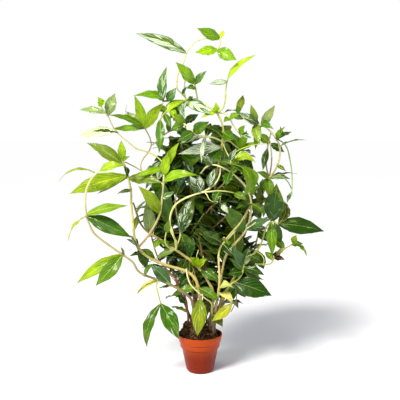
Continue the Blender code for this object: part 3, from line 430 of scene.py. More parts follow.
# Leafy stems behind and between, which fill the middle of the bush and its back
fillers = {
    "shoot_centre": stem("red", "leafy", 1.9, 1.0, (-9, 108, 3), (-19, 150, 12), (-18, 195, 18),
                         (-8, 240, 19), (-18, 285, 19), (-26, 322, 18), (-20, 356, 17), foot=(-6, 3),
                         pairs=(75, 42, 48)),
    "shoot_left_low": stem("red", "red", 1.5, 0.9, (-20, 103, 4), (-30, 128, 7), (-42, 143, 11),
                           (-55, 157, 14), (-64, 176, 17), (-70, 200, 19), foot=(-17, 2),
                           pairs=(45, 44, 36)),
    "shoot_back_left": stem("red", "grassy", 1.8, 1.0, (-26, 110, 26), (-42, 155, 30),
                            (-54, 200, 31), (-58, 245, 30), (-50, 288, 31), (-36, 325, 28),
                            foot=(-13, 13), pairs=(66, 46, 48)),
    "shoot_back": stem("red", "grassy", 1.8, 1.0, (-6, 108, 42), (-10, 155, 47), (-8, 205, 45),
                       (4, 250, 45), (18, 290, 45), (24, 328, 41), foot=(-4, 20), pairs=(66, 46, 52)),
    "shoot_back_right": stem("red", "grassy", 1.8, 1.0, (22, 110, 40), (40, 155, 39), (52, 200, 36),
                             (58, 245, 33), (52, 288, 31), (48, 322, 26), foot=(7, 20),
                             pairs=(66, 46, 50)),
    "shoot_right_back": stem("red", "leafy", 1.6, 0.9, (38, 104, 24), (58, 130, 30), (74, 165, 30),
                             (84, 205, 27), (88, 245, 24), foot=(18, 13), pairs=(60, 44, 46)),
}

# Twigs, curls and leaves past what the solids can hold, sighted like the rest.
finer = {
    "shoot_left_loop": {
        "stems": (),
        "leaves": (
            leaf("sea", (-42, 127, -18), (-72, 157, -8), 15),
            leaf("butter", (-61, 133, -19), (-91, 112, -25), 7, 40, 0.18),
        ),
    },
    "shoot_left_main": {
        "stems": (
            stem("forest", "leafy", 0.6, 0.4, (-78, 351, 6), (-92, 356, 8), (-102, 364, 9),
                 (-104, 374, 9), (-103, 383, 8)),
        ),
        "leaves": (
            leaf("sage", (-98, 264, 3), (-118, 259, -4), 4, 10, 0.14),
            leaf("sage", (-80, 352, 8), (-103, 375, 12), 12, 20),
            leaf("sage", (-103, 283, 5), (-146, 259, 8), 7, 40),
            leaf("mint", (-54, 252, 1), (-36, 262, -6), 8, 20),
        ),
    },
    "shoot_left_inner": {
        "stems": (
            stem("cream", "leafy", 0.7, 0.4, (6, 262, -7), (10, 257, -9), (13, 251, -10),
                 (17, 248, -10), (22, 247, -9)),
            stem("cream", "leafy", 0.7, 0.4, (22, 262, -9), (27, 258, -9), (29, 252, -8),
                 (28, 246, -8)),
            stem("leafy", "cream", 0.6, 0.4, (-4, 155, 1), (-5, 168, -4), (-2, 178, -5)),
            stem("leafy", "cream", 0.6, 0.4, (-4, 155, 1), (3, 161, -4), (5, 169, -5)),
            stem("leafy", "straw", 0.7, 0.6, (-34, 181, 4), (-36, 190, 0), (-38, 200, -3),
                 (-41, 212, -3)),
            stem("straw", "cream", 0.9, 0.8, (17, 66, -13), (18, 86, -15), (16, 100, -16),
                 (7, 107, -16), (-6, 119, -15), (-14, 128, -13), (-18, 139, -10), (-20, 150, -3)),
        ),
        "leaves": (
            leaf("silver", (28, 247, -8), (41, 230, -14), 8),
            leaf("silver", (-31, 213, 10), (-14, 232, 2), 10, 20),
            leaf("grass", (-44, 182, 5), (-60, 191, 2), 8, 20),
        ),
    },
    "shoot_middle_right": {
        "stems": (
            stem("straw", "straw", 1.0, 0.9, (20, 66, -10), (17, 84, -11), (19, 99, -12),
                 (25, 110, -12)),
            stem("leafy", "straw", 0.6, 0.4, (31, 185, -4), (24, 196, 1), (14, 202, 3), (3, 205, 5)),
            stem("straw", "bark", 1.2, 0.8, (37, 193, -3), (46, 204, -8), (56, 215, -12),
                 (61, 223, -12), (66, 232, -9), (70, 242, -3)),
        ),
        "leaves": (
            leaf("butter", (28, 113, -13), (47, 97, -20), 9, 20, 0.2, -0.2),
            leaf("lime", (37, 191, -3), (31, 195, -8), 4, 30),
            leaf("grass", (37, 191, -3), (42, 184, -10), 6, 30),
            leaf("olive", (19, 85, -11), (31, 66, -20), 12, 20),
        ),
    },
    "shoot_right_arch": {
        "stems": (
            stem("leafy", "leafy", 0.6, 0.4, (72, 242, 1), (62, 243, -3), (53, 239, -5)),
            stem("cream", "cream", 0.9, 0.6, (66, 208, 1), (73, 213, -2), (80, 218, -4)),
        ),
        "leaves": (),
    },
    "shoot_top": {
        "stems": (
            stem("red", "bark", 1.2, 0.9, (7, 140, 17), (4, 165, 13), (0, 190, 11), (-2, 212, 13),
                 (9, 236, 17)),
            stem("red", "tan", 0.8, 0.6, (12, 205, 20), (6, 222, 14), (14, 238, 12), (26, 247, 12)),
            stem("red", "red", 0.9, 0.8, (9, 66, 8), (10, 100, 10), (12, 130, 12), (8, 160, 14)),
            stem("bark", "tan", 0.8, 0.6, (13, 206, 19), (22, 213, 13), (30, 220, 11), (37, 227, 12)),
            stem("bark", "red", 0.8, 0.6, (12, 203, 20), (2, 209, 13), (-6, 205, 11), (-13, 196, 13)),
            stem("bark", "straw", 0.8, 0.6, (20, 262, 15), (28, 268, 8), (35, 276, 6), (37, 288, 6)),
            stem("straw", "tan", 0.8, 0.6, (-20, 391, 9), (-22, 405, 7), (-21, 420, 5), (-24, 432, 4)),
            stem("leafy", "leafy", 0.7, 0.5, (43, 303, -14), (45, 312, -13), (55, 321, -10),
                 (75, 328, -8), (94, 330, -5)),
        ),
        "leaves": (
            leaf("apple", (-21, 389, 8), (-57, 361, 5), 9, 40, 0.16),
            leaf("grass", (-24, 388, 9), (-52, 377, 14), 10, 10),
            leaf("deep", (-30, 386, 8), (-37, 361, 12), 9, 10),
            leaf("dark", (-28, 386, 8), (-43, 364, 10), 8, -20),
            leaf("lime", (-26, 387, 8), (-45, 374, 2), 6, 30, 0.12),
            leaf("silver", (-15, 390, 8), (-26, 375, 0), 6, 20),
            leaf("apple", (-41, 380, 5), (-33, 361, -2), 8, 20),
            leaf("dark", (-50, 372, 3), (-40, 351, -4), 8),
            leaf("mint", (-30, 386, 7), (-21, 367, 0), 7, 20),
            leaf("fresh", (-23, 389, 8), (-9, 378, 2), 6, 30),
            leaf("grass", (-45, 376, 4), (-62, 381, 8), 8, 20),
            leaf("deep", (-25, 399, 8), (-18, 410, 2), 4, 30),
            leaf("deep", (-17, 391, 8), (-9, 395, 2), 4, 30),
            leaf("cream", (-3, 341, -5), (-28, 330, -11), 9, 20),
            leaf("silver", (2, 340, -5), (-24, 336, -2), 6, 35),
            leaf("cream", (8, 340, -3), (2, 302, -12), 6, 10, 0.05),
            leaf("dark", (30, 322, 6), (8, 298, -2), 17, 20),
            leaf("dark", (43, 303, -13), (27, 304, -6), 7, 20),
            leaf("grass", (43, 303, -13), (54, 249, -17), 17, 10, 0.1, -0.46),
            leaf("apple", (43, 303, -14), (79, 303, -17), 12, 30, 0.1, -0.26),
            leaf("cream", (38, 416, 0), (13, 413, -4), 7, 30, 0.06),
            leaf("deep", (31, 341, 4), (13, 337, 9), 14, 10),
            leaf("deep", (9, 340, -3), (15, 359, 5), 9, 10),
            leaf("dark", (6, 112, 14), (9, 80, 6), 10, 20),
            leaf("deep", (7, 116, 15), (17, 82, 12), 13, 10),
        ),
    },
    "shoot_right_loops": {
        "stems": (
            stem("forest", "forest", 0.8, 0.5, (107, 337, 2), (113, 339, 0), (119, 342, -2),
                 (124, 343, -2), (127, 347, -2)),
            stem("leafy", "forest", 0.8, 0.6, (98, 281, 14), (106, 284, 6), (113, 285, 0),
                 (120, 281, -5), (126, 274, -6), (130, 266, -6)),
        ),
        "leaves": (
            leaf("silver", (83, 357, 3), (53, 374, -4), 10, 25),
            leaf("deep", (119, 342, -2), (113, 355, -4), 4, 40, 0.1, -0.25),
            leaf("grass", (110, 299, 8), (122, 291, 0), 5, 30),
            leaf("dark", (84, 356, 3), (78, 322, -2), 9),
        ),
    },
    "shoot_right_low": {
        "stems": (
            stem("forest", "bark", 0.7, 0.5, (44, 127, -8), (50, 124, -12), (53, 114, -15),
                 (52, 103, -17), (49, 95, -19), (45, 87, -21)),
        ),
        "leaves": (
            leaf("dark", (62, 152, -8), (86, 171, 0), 14),
            leaf("ivory", (63, 157, -8), (77, 173, -15), 6, 8),
            leaf("mint", (62, 150, -8), (42, 166, -14), 9, 20),
            leaf("deep", (50, 131, -9), (66, 108, 0), 13, 10),
        ),
    },
    "shoot_right_back": {
        "stems": (),
        "leaves": (
            leaf("olive", (87, 244, 24), (81, 271, 12), 10, 10),
            leaf("deep", (88, 245, 24), (89, 282, 16), 6, 30),
            leaf("dark", (86, 225, 25), (72, 248, 18), 12, 10),
            leaf("deep", (84, 205, 27), (98, 190, 20), 13, 10),
            leaf("pale", (84, 243, 20), (90, 225, 10), 9, 20, 0.12),
        ),
    },
    "shoot_right_broad": {
        "stems": (
            stem("leafy", "leafy", 0.6, 0.5, (82, 175, 8), (88, 171, 2), (92, 164, -1), (91, 155, 0)),
        ),
        "leaves": (
            leaf("butter", (109, 170, 2), (125, 182, -1), 6, 25, 0.06),
            leaf("deep", (82, 177, 8), (92, 150, 16), 14, 10),
            leaf("dark", (70, 163, 10), (52, 148, 16), 14, 10),
            leaf("olive", (112, 215, 1), (117, 250, 6), 13, 10, 0.1, 0.22),
            leaf("dry", (108, 168, 3), (110, 177, -3), 5, 30, 0.2),
        ),
    },
    "shoot_centre": {
        "stems": (
            stem("forest", "leafy", 0.7, 0.5, (-18, 195, 18), (-11, 206, 11), (-2, 219, 9),
                 (6, 231, 11)),
            stem("bark", "tan", 0.9, 0.8, (-8, 66, 6), (-9, 90, 6), (-9, 120, 8), (-11, 146, 11)),
            stem("straw", "bark", 0.8, 0.7, (-3, 66, 3), (-4, 95, 3), (-5, 130, 6), (-12, 158, 12)),
        ),
        "leaves": (
            leaf("deep", (-19, 290, 19), (4, 299, 12), 16, 10),
            leaf("deep", (-16, 138, 9), (-30, 127, 3), 13, 10),
            leaf("dark", (-23, 303, 18), (6, 315, 6), 16, 10),
            leaf("deep", (-22, 310, 18), (-40, 292, 10), 14),
            leaf("dark", (-14, 262, 18), (8, 280, 8), 15, 10),
        ),
    },
    "shoot_left_low": {
        "stems": (
            stem("bark", "red", 0.7, 0.5, (-5, 66, 0), (-7, 90, 1), (-14, 108, 3), (-26, 121, 6),
                 (-39, 136, 9), (-50, 150, 13)),
        ),
        "leaves": (
            leaf("dark", (-19, 100, 3), (-32, 110, 10), 9, 10),
            leaf("dark", (-24, 113, 5), (-27, 137, 10), 9, 10),
        ),
    },
}

shoots = {
    "shoot_left_loop": leftLoop,
    "shoot_left_main": leftMain,
    "shoot_left_inner": leftInner,
    "shoot_middle_right": middleRight,
    "shoot_right_arch": rightArch,
    "shoot_top": topShoot,
    "shoot_right_loops": rightLoops,
    "shoot_right_broad": rightBroad,
    "shoot_right_low": rightLow,
}

# How the shoots grow. These place every stem and leaf just where the solids have them
growth = {
    "footHeights": (40.0, 52.0, 62.0, 70.0),
    "ringEvery": 19.0,
    "ringsFine": 6,               # fine rings for each of the solids' rings
    "spreadHeights": (110.0, 230.0),
    "spread": 1.2,                # how much deeper a high place lies than its row says
    "oval": (0.86, 1.15),         # where a blade is widest, and how pointed it is
    "fold": 0.24,
    "stalkHalf": 0.8,
    "probedAt": (0.3, 0.45, 0.6, 0.75, 0.9, 1.0),    # where along a blade its room is tested
    "stemMarks": 4,               # points between two rings that stand for the stem in that test
    "room": 5.2,
    "turnsTried": 7,
    "lowestLeaf": 74.0,
    "slender": (0.27, 0.34),
    "arch": (0.05, 0.14),
    "lean": (0.86, 0.42, 0.2),    # how far leaves of the rule point out, along the stem and down
    "longs": (0.8, 1.15),         # how unlike the pairs are in length
    "gaps": (0.85, 1.15),         # and in how far they are apart
    "tipLeaf": 30.0,
    "ruleTones": ("dark", "deep", "sea", "grass", "olive", "grey", "dark"),
}


def sighted(x, z, depth):
    # the place that is seen at x, z on the axis plane and lies behind it, deeper when high
    flat = Vector((x, 0.0, z)) * mm
    behind = depth * (1 + growth["spread"] * shareOf(z, *growth["spreadHeights"])) * mm
    return eye + (flat - eye) * ((behind - eye.y) / -eye.y)


def onSpline(before, start, end, after, share):
    bend = 2 * before - 5 * start + 4 * end - after
    twist = 3 * start - before - 3 * end + after
    return 0.5 * (2 * start + (end - before) * share + bend * share**2 + twist * share**3)


def stemLine(plan, finer=1):
    # the centre line: the upright foot, then the sighted route, as a smooth run of rings
    knots = [sighted(*place) for place in plan["route"]]
    if plan["foot"]:
        x, y = plan["foot"]
        knots = [Vector((x, y, z)) * mm for z in growth["footHeights"]] + knots
    ends = [2 * knots[0] - knots[1]] + knots + [2 * knots[-1] - knots[-2]]
    points = []
    for before, start, end, after in zip(ends, knots, knots[1:], ends[3:]):
        pieces = finer * max(1, round((end - start).length / (growth["ringEvery"] * mm)))
        for step in range(pieces):
            points.append(onSpline(before, start, end, after, step / pieces))
    return points + [knots[-1]]


def nearestOn(lines, place):
    # the point on any of the lines that lies nearest to a place
    nearest = []
    for line in lines:
        for start, end in zip(line, line[1:]):
            share = intersect_point_line(place, start, end)[1]
            nearest.append(start.lerp(end, min(1.0, max(0.0, share))))
    return min(nearest, key=lambda point: (point - place).length)


def leafByHand(plan, lines):
    base = nearestOn(lines, sighted(*plan["base"]))
    tip = sighted(*plan["tip"])
    along = (tip - base).normalized()
    toFront = eye - base
    facing = (toFront - along * toFront.dot(along)).normalized()
    way = 1 if along.cross(upward).dot(facing) < 0 else -1
    turned = Matrix.Rotation(math.radians(plan["turn"]) * way, 3, along) @ facing
    return {"base": base, "tip": tip, "facing": turned, "width": plan["width"] * mm,
            "arch": plan["arch"], "tone": plan["tone"], "bend": plan["bend"]}


def halfWidth(blade, along):
    # half a blade's width, with the stalk's own at its base
    widest, pointed = growth["oval"]
    oval = math.sin(math.pi * along**widest) ** pointed if 0 < along < 1 else 0.0
    return blade["width"] / 2 * oval + growth["stalkHalf"] * mm * (1 - along)


def solidPoint(blade, along, across):
    run = blade["tip"] - blade["base"]
    half = halfWidth(blade, along)
    arched = blade["arch"] * run.length * 4 * along * (1 - along)
    side = run.normalized().cross(blade["facing"])
    lifted = arched + growth["fold"] * abs(across) * half
    return blade["base"] + run * along + blade["facing"] * lifted + side * (across * half)


def probe(blade):
    return [solidPoint(blade, along, across)
            for along in growth["probedAt"] for across in (-1, 0, 1)]


def cellOf(point):
    size = growth["room"] * mm
    return tuple(math.floor(part / size) for part in point)


def fill(taken, points):
    # points are kept by their cell, so that only near ones are looked at
    for point in points:
        taken.setdefault(cellOf(point), []).append(point.copy())


def hasRoom(blade, taken, room):
    # nothing lower than the lowest leaf, and nothing already there
    for point in probe(blade):
        if point.z < growth["lowestLeaf"] * mm:
            return False
        x, y, z = cellOf(point)
        for near in itertools.product((x - 1, x, x + 1), (y - 1, y, y + 1), (z - 1, z, z + 1)):
            if any((other - point).length <= room * mm for other in taken.get(near, ())):
                return False
    return True


def turnedClear(node, heading, spin, size, slender, arch, lean, turns, isClear):
    # one leaf at a stem's node, turned about the stem until it is clear, or none
    across = heading.orthogonal().normalized()
    out, along, down = lean
    for turn in range(turns):
        outward = Matrix.Rotation(spin + turn * math.tau / turns, 3, heading) @ across
        away = (outward * out + heading * along - upward * down).normalized()
        facing = (upward - away * upward.dot(away)).normalized()
        blade = {"base": node, "tip": node + away * size, "facing": facing,
                 "width": size * slender, "arch": arch}
        if isClear(blade):
            return blade
    return None


def ruleLeaf(node, heading, spin, size, taken, draw):
    slender = draw.uniform(*growth["slender"])
    arch = draw.uniform(*growth["arch"])
    return turnedClear(node, heading.normalized(), spin, size, slender, arch, growth["lean"],
                       growth["turnsTried"], lambda blade: hasRoom(blade, taken, growth["room"]))


def placePairs(points, rule, taken, draw):
    # opposite leaves along a stem, each pair square to the last
    first, every, length = rule
    placed = []
    travelled = 0.0
    wanted = first * mm
    spin = draw.uniform(0, math.pi)
    for start, end in zip(points, points[1:]):
        step = (end - start).length
        while wanted <= travelled + step:
            node = start.lerp(end, (wanted - travelled) / step)
            for halfTurn in (0, math.pi):
                size = length * draw.uniform(*growth["longs"]) * mm
                blade = ruleLeaf(node, end - start, spin + halfTurn, size, taken, draw)
                if blade:
                    placed.append(blade)
                    fill(taken, probe(blade))
            spin += math.pi / 2
            wanted += every * draw.uniform(*growth["gaps"]) * mm
        travelled += step
    return placed


def addTipLeaves(plan, taken, draw):
    for each, line in zip(plan["stems"], plan["lines"]):
        if not each["pairs"]:
            continue
        for spin in (0.0, math.pi):
            size = growth["tipLeaf"] * mm
            blade = ruleLeaf(line[-1], line[-1] - line[-2], spin, size, taken, draw)
            if blade:
                plan["blades"].append(blade)
                fill(taken, probe(blade))


def planPlant():
    # the listed leaves come first, then those of the rule
    plans = dict(shoots)
    plans.update({name: {"stems": (filler,), "leaves": ()} for name, filler in fillers.items()})
    taken = {}
    for plan in plans.values():
        lines = [stemLine(each) for each in plan["stems"]]
        plan["lines"] = lines
        plan["blades"] = [leafByHand(each, lines) for each in plan["leaves"]]
        for line in lines:
            for start, end in zip(line, line[1:]):
                marks = growth["stemMarks"]
                fill(taken, [start.lerp(end, mark / marks) for mark in range(marks)])
        for blade in plan["blades"]:
            fill(taken, probe(blade))
    for number, plan in enumerate(plans.values()):
        draw = random.Random(seeds["rule"] + number)
        for each, line in zip(plan["stems"], plan["lines"]):
            if each["pairs"]:
                plan["blades"] += placePairs(line, each["pairs"], taken, draw)
        addTipLeaves(plan, taken, draw)
    return plans, taken


def addFiner(plans, taken):
    for name, more in finer.items():
        plan = plans[name]
        plan["stems"] = (*plan["stems"], *more["stems"])
        lines = [stemLine(each) for each in plan["stems"]]
        for each in more["leaves"]:
            blade = leafByHand(each, lines)
            plan["blades"].append(blade)
            fill(taken, probe(blade))


def settlePlant(plans):
    # fine centre lines, each leaf rooted on them, and a tone for each leaf of the rule
    for number, plan in enumerate(plans.values()):
        draw = random.Random(seeds["habits"] + number)
        plan["fineLines"] = [stemLine(each, growth["ringsFine"]) for each in plan["stems"]]
        for blade in plan["blades"]:
            blade["grade"] = "large" if "tone" in blade else "small"
            blade["base"] = nearestOn(plan["fineLines"], blade["base"])
            blade["tone"] = blade.get("tone") or draw.choice(growth["ruleTones"])
            blade["habit"] = leafHabit(draw)
            if blade.get("bend"):
                blade["habit"]["sway"] = blade["bend"]


# The dense middle: leaves past those that the solids can hold, on the same stems
thicket = {
    "heights": (100.0, 340.0),
    "front": ((100.0, 4.0), (240.0, 16.0)),   # nothing nearer than this, at two heights
    # how far it reaches to the left and right at each height
    "reach": ((95.0, -8.0, 42.0), (120.0, -26.0, 78.0), (150.0, -46.0, 96.0), (170.0, -56.0, 94.0),
              (185.0, -64.0, 68.0), (205.0, -78.0, 70.0), (225.0, -84.0, 88.0), (285.0, -88.0, 92.0),
              (350.0, -50.0, 84.0)),
    "every": (4.0, 7.5),
    "long": (32.0, 56.0),
    "slender": (0.33, 0.47),
    "arch": (0.03, 0.16),
    "droop": (0.3, 1.5),
    "forward": 0.2,
    # the shoots that carry them; one that comes twice here gets a second round
    "hosts": (*fillers, "shoot_left_inner", "shoot_middle_right", "shoot_top", "shoot_back",
              "shoot_back_left", "shoot_back_right", "shoot_centre"),
    "room": 1.9,
    "turnsTried": 9,
    "tones": ("dark", "deep", "sea", "deep", "grass", "dark", "silver", "deep", "mint"),
}


def innerLeaf(node, heading, spin, taken, draw):
    # a leaf that leans out from its stem and hangs more or less, if it has room
    size = draw.uniform(*thicket["long"]) * mm
    lean = (1.0, thicket["forward"], draw.uniform(*thicket["droop"]))
    slender = draw.uniform(*thicket["slender"])
    arch = draw.uniform(*thicket["arch"])
    return turnedClear(
        node, heading, spin, size, slender, arch, lean, thicket["turnsTried"],
        lambda blade: isWithin(blade) and hasRoom(blade, taken, thicket["room"]))


def isWithin(blade):
    # the bare stems at the front stay in view, and the middle keeps its outline
    (low, near), (high, far) = thicket["front"]
    for point in probe(blade):
        x, y, z = point / mm
        if y < between(near, far, shareOf(z, low, high)):
            return False
        left, right = reachAt(z)
        if not left < x < right:
            return False
    return True


def reachAt(z):
    rows = thicket["reach"]
    for (low, lowLeft, lowRight), (high, highLeft, highRight) in zip(rows, rows[1:]):
        if low <= z <= high:
            share = shareOf(z, low, high)
            return between(lowLeft, highLeft, share), between(lowRight, highRight, share)
    return 0.0, 0.0


def thicken(plans, taken):
    low, high = thicket["heights"]
    for number, name in enumerate(thicket["hosts"]):
        plan = plans[name]
        draw = random.Random(seeds["thicket"] + number)
        for line in plan["fineLines"]:
            wanted = draw.uniform(*thicket["every"]) * mm
            spin = draw.uniform(0, math.pi)
            for start, end in zip(line, line[1:]):
                wanted -= (end - start).length
                if wanted > 0 or not low < start.z / mm < high:
                    continue
                wanted = draw.uniform(*thicket["every"]) * mm
                spin += math.pi / 2
                for halfTurn in (0, math.pi):
                    heading = (end - start).normalized()
                    blade = innerLeaf(start.copy(), heading, spin + halfTurn, taken, draw)
                    if blade:
                        blade["grade"] = "inner"
                        blade["tone"] = draw.choice(thicket["tones"])
                        blade["habit"] = leafHabit(draw)
                        plan["blades"].append(blade)
                        fill(taken, probe(blade))


# Blades: a grid for each, bent along the leaf, rippled at the margins and made a thin shell
leafShape = {
    # steps along and across, steps and sides of the rib
    "grades": {"large": (18, 6, 9, 5), "small": (11, 4, 6, 4), "inner": (12, 4, 5, 4)},
    "broader": 1.1,
    "bunched": 0.07,        # how far the rows draw towards both ends
    "thick": 0.32,
    "keel": 0.17,           # softness of the fold at the rib
    "fold": 0.32,
    "rollUnder": 0.12,
    "ripple": (0.07, 0.20),
    "ripples": (2.0, 4.2),
    "scallop": 0.035,
    "scallops": 9.0,
    "sway": 0.035,
    "twist": 16.0,          # in degrees, from base to tip
    "twistFrom": 0.3,       # where along the blade the twist leaves it as it was
    "unlikeHalves": 1.9,    # how far the ripples of one half run ahead of the other's
    "ribThick": (0.62, 0.16),
    "ribThins": 0.6,        # under 1, the rib thins early
    "ribSunk": 0.7,
    "ribReach": 0.86,
    "ribPale": 0.45,
    "shade": (0.64, 0.90),  # how light one leaf is beside the next
    "warmth": 0.1,          # and how much redder or less red
    "paler": (265.0, 400.0, 0.68),    # painted light from above: leaves get lighter between these heights, by this much; some of it is the paler young growth at the top
    "underTone": (0.50, 0.58, 0.14),
    "underShare": 0.28,
    "underStreaked": 0.5,
}


def leafHabit(draw):
    # what makes one leaf unlike the next
    return {
        "ripple": draw.uniform(*leafShape["ripple"]),
        "ripples": draw.uniform(*leafShape["ripples"]),
        "phase": draw.uniform(0, math.tau),
        "sway": draw.uniform(-1, 1) * leafShape["sway"],
        "twist": math.radians(draw.uniform(-1, 1) * leafShape["twist"]),
        "shade": draw.uniform(*leafShape["shade"]),
        "warmth": draw.uniform(-1, 1) * leafShape["warmth"],
    }


def leafPoint(blade, along, across):
    # the solid's leaf with soft keel, rippled and rolled margins, a sway and a twist
    habit = blade["habit"]
    run = blade["tip"] - blade["base"]
    heading = run.normalized()
    turn = Matrix.Rotation(habit["twist"] * (along - leafShape["twistFrom"]), 3, heading)
    facing = turn @ blade["facing"]
    side = heading.cross(facing)
    phase = habit["phase"] + (leafShape["unlikeHalves"] if across > 0 else 0.0)
    half = halfWidth(blade, along) * leafShape["broader"]
    edge = 1 + leafShape["scallop"] * math.sin(leafShape["scallops"] * math.tau * along + phase)
    bow = 4 * along * (1 - along) * run.length
    keel = leafShape["keel"]
    fold = math.sqrt(across**2 + keel**2) - keel
    roll = leafShape["rollUnder"] * across**4
    wave = habit["ripple"] * across**2 * math.sin(habit["ripples"] * math.tau * along + phase)
    lift = blade["arch"] * bow + half * (leafShape["fold"] * fold - roll + wave)
    return (blade["base"] + run * along + facing * lift
            + side * (across * half * edge + habit["sway"] * bow))


def ringFrames(points, radii):
    # a frame at each ring that turns with the line but doesn't spin about it
    turned = (points[1] - points[0]).to_track_quat("Z", "Y")
    frames = []
    for number, (point, radius) in enumerate(zip(points, radii)):
        ahead = points[min(number + 1, len(points) - 1)] - points[max(number - 1, 0)]
        turned = (turned @ upward).rotation_difference(ahead.normalized()) @ turned
        frames.append(Matrix.LocRotScale(point, turned, Vector((radius,) * 3)))
    return frames


def growTube(shape, points, radii, sides):
    # a round tube with a radius at each ring, capped at both ends; it gives back its rings
    frames = ringFrames(points, radii)
    ring = bmesh.ops.create_circle(shape, cap_ends=True, segments=sides, radius=1.0,
                                   matrix=frames[0])["verts"]
    rings = [ring]
    edges = edgesAmong(ring)
    for before, after in zip(frames, frames[1:]):
        ring = cornersIn(bmesh.ops.extrude_edge_only(shape, edges=edges)["geom"])
        edges = edgesAmong(ring)
        bmesh.ops.transform(shape, matrix=after @ before.inverted(), verts=ring)
        rings.append(ring)
    bmesh.ops.contextual_create(shape, geom=edges)
    return rings


def edgesAmong(corners):
    # each edge that joins two of the corners, once and always in the same order
    own = set(corners)
    return list(dict.fromkeys(edge for corner in corners for edge in corner.link_edges
                              if own.issuperset(edge.verts)))


def cornersIn(parts):
    return [part for part in parts if isinstance(part, bmesh.types.BMVert)]


def facesOf(corners):
    return list(dict.fromkeys(face for corner in corners for face in corner.link_faces))


def tint(faces, colours, tone):
    for face in faces:
        for loop in face.loops:
            loop[colours] = tone


def smoothAll(shape):
    for face in shape.faces:
        face.smooth = True


def faceOutward(shape, faces):
    # a thin shell needs its signed volume to tell which way is out
    bmesh.ops.recalc_face_normals(shape, faces=faces)
    middle = faces[0].calc_center_median()
    volume = sum((face.calc_center_median() - middle).dot(face.normal) * face.calc_area()
                 for face in faces)
    if volume < 0:
        bmesh.ops.reverse_faces(shape, faces=faces)


def joinTo(whole, part):
    # each leaf or stem is made by itself, which is quicker, and then joins the rest
    scratch = bpy.data.meshes.new("part")
    part.to_mesh(scratch)
    part.free()
    whole.from_mesh(scratch)
    bpy.data.meshes.remove(scratch)


def leafCanvas():
    shape = bmesh.new()
    shape.loops.layers.uv.new("leafUV")
    shape.loops.layers.float_color.new("leafColour")
    return shape


def growLeaf(blade):
    shape = leafCanvas()
    colours = shape.loops.layers.float_color["leafColour"]
    stepsAlong, stepsAcross, ribSteps, ribSides = leafShape["grades"][blade["grade"]]
    grid = bmesh.ops.create_grid(shape, x_segments=stepsAlong, y_segments=stepsAcross, size=1.0,
                                 calc_uvs=True)["verts"]
    for corner in grid:
        share = (corner.co.x + 1) / 2
        along = share - leafShape["bunched"] * math.sin(math.tau * share)
        corner.co = leafPoint(blade, along, corner.co.y)
    shell = bmesh.ops.solidify(shape, geom=facesOf(grid), thickness=leafShape["thick"] * mm)
    faces = facesOf([*grid, *cornersIn(shell["geom"])])
    faceOutward(shape, faces)
    upper, under = leafColours(blade)
    for face in faces:
        tint([face], colours, upper if face.normal.dot(blade["facing"]) > 0 else under)
    growRib(shape, blade, colours, under, ribSteps, ribSides)
    smoothAll(shape)
    return shape


def growRib(shape, blade, colours, under, steps, sides):
    # the stalk and the raised rib under the blade, thinning towards the tip
    reach = leafShape["ribReach"]
    places = [reach * number / steps for number in range(steps + 1)]
    radii = [between(*leafShape["ribThick"], (place / reach) ** leafShape["ribThins"]) * mm
             for place in places]
    points = [leafPoint(blade, place, 0) - blade["facing"] * radius * leafShape["ribSunk"]
              for place, radius in zip(places, radii)]
    rings = growTube(shape, points, radii, sides)
    faces = facesOf(itertools.chain(*rings))
    bmesh.ops.recalc_face_normals(shape, faces=faces)
    cream = linear(stemTones["cream"])
    pale = [between(own, light, leafShape["ribPale"]) for own, light in zip(under, cream)]
    tint(faces, colours, (*pale, 0.0))
    onRib = (0.0, 0.5)
    uvs = shape.loops.layers.uv["leafUV"]
    for loop in itertools.chain(*(face.loops for face in faces)):
        loop[uvs].uv = onRib


def leafColours(blade):
    # the upper and the under side; the fourth number says how much the blade is streaked with pale
    # painted glints
    habit = blade["habit"]
    streaked = paleStreaks.get(blade["tone"], littleStreaked)
    red, green, blue = linear(leafTones[blade["tone"]])
    # painted light from above: the higher a leaf's base, the lighter it is made
    low, high, gain = leafShape["paler"]
    light = habit["shade"] * (1 + gain * shareOf(blade["base"].z / mm, low, high))
    upper = (red * light * (1 + habit["warmth"]), green * light, blue * light)
    under = [between(own, other, leafShape["underShare"])
             for own, other in zip(upper, linear(leafShape["underTone"]))]
    return (*upper, streaked), (*under, streaked * leafShape["underStreaked"])


sharpRim = math.radians(52.0)


def finishMesh(name, shape, material):
    # a new object from the bmesh, smooth but for its sharp rims
    mesh = bpy.data.meshes.new(name)
    shape.to_mesh(mesh)
    shape.free()
    mesh.set_sharp_from_angle(angle=sharpRim)
    mesh.materials.append(material)
    made = bpy.data.objects.new(name, mesh)
    bpy.context.scene.collection.objects.link(made)
    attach(made, "root")
    return made


def growLeaves(name, plan, material):
    whole = leafCanvas()
    for blade in plan["blades"]:
        joinTo(whole, growLeaf(blade))
    return finishMesh(name + "_leaves", whole, material)


# Stems: round, swollen at each node, brown where they leave the soil
stemShape = {
    "sides": 10,
    "fuller": 1.12,
    "swell": 0.34,
    "swellReach": 1.9,
    "bareEvery": (24.0, 40.0),    # nodes that have lost their leaves
    "bareApart": 12.0,
    "leafNear": 2.5,
    "soilBrown": (0.27, 0.17, 0.11),
    "brownHeights": (48.0, 124.0),
}


def nodePlaces(line, blades, draw):
    # how far along the stem its nodes lie: one at each leaf, the rest where leaves have dropped
    travelled = [0.0]
    for start, end in zip(line, line[1:]):
        travelled.append(travelled[-1] + (end - start).length)
    nodes = []
    for blade in blades:
        gaps = [(point - blade["base"]).length for point in line]
        if min(gaps) < stemShape["leafNear"] * mm:
            nodes.append(travelled[gaps.index(min(gaps))])
    bare = draw.uniform(*stemShape["bareEvery"]) * mm
    while bare < travelled[-1]:
        if all(abs(bare - place) > stemShape["bareApart"] * mm for place in nodes):
            nodes.append(bare)
        bare += draw.uniform(*stemShape["bareEvery"]) * mm
    return travelled, nodes


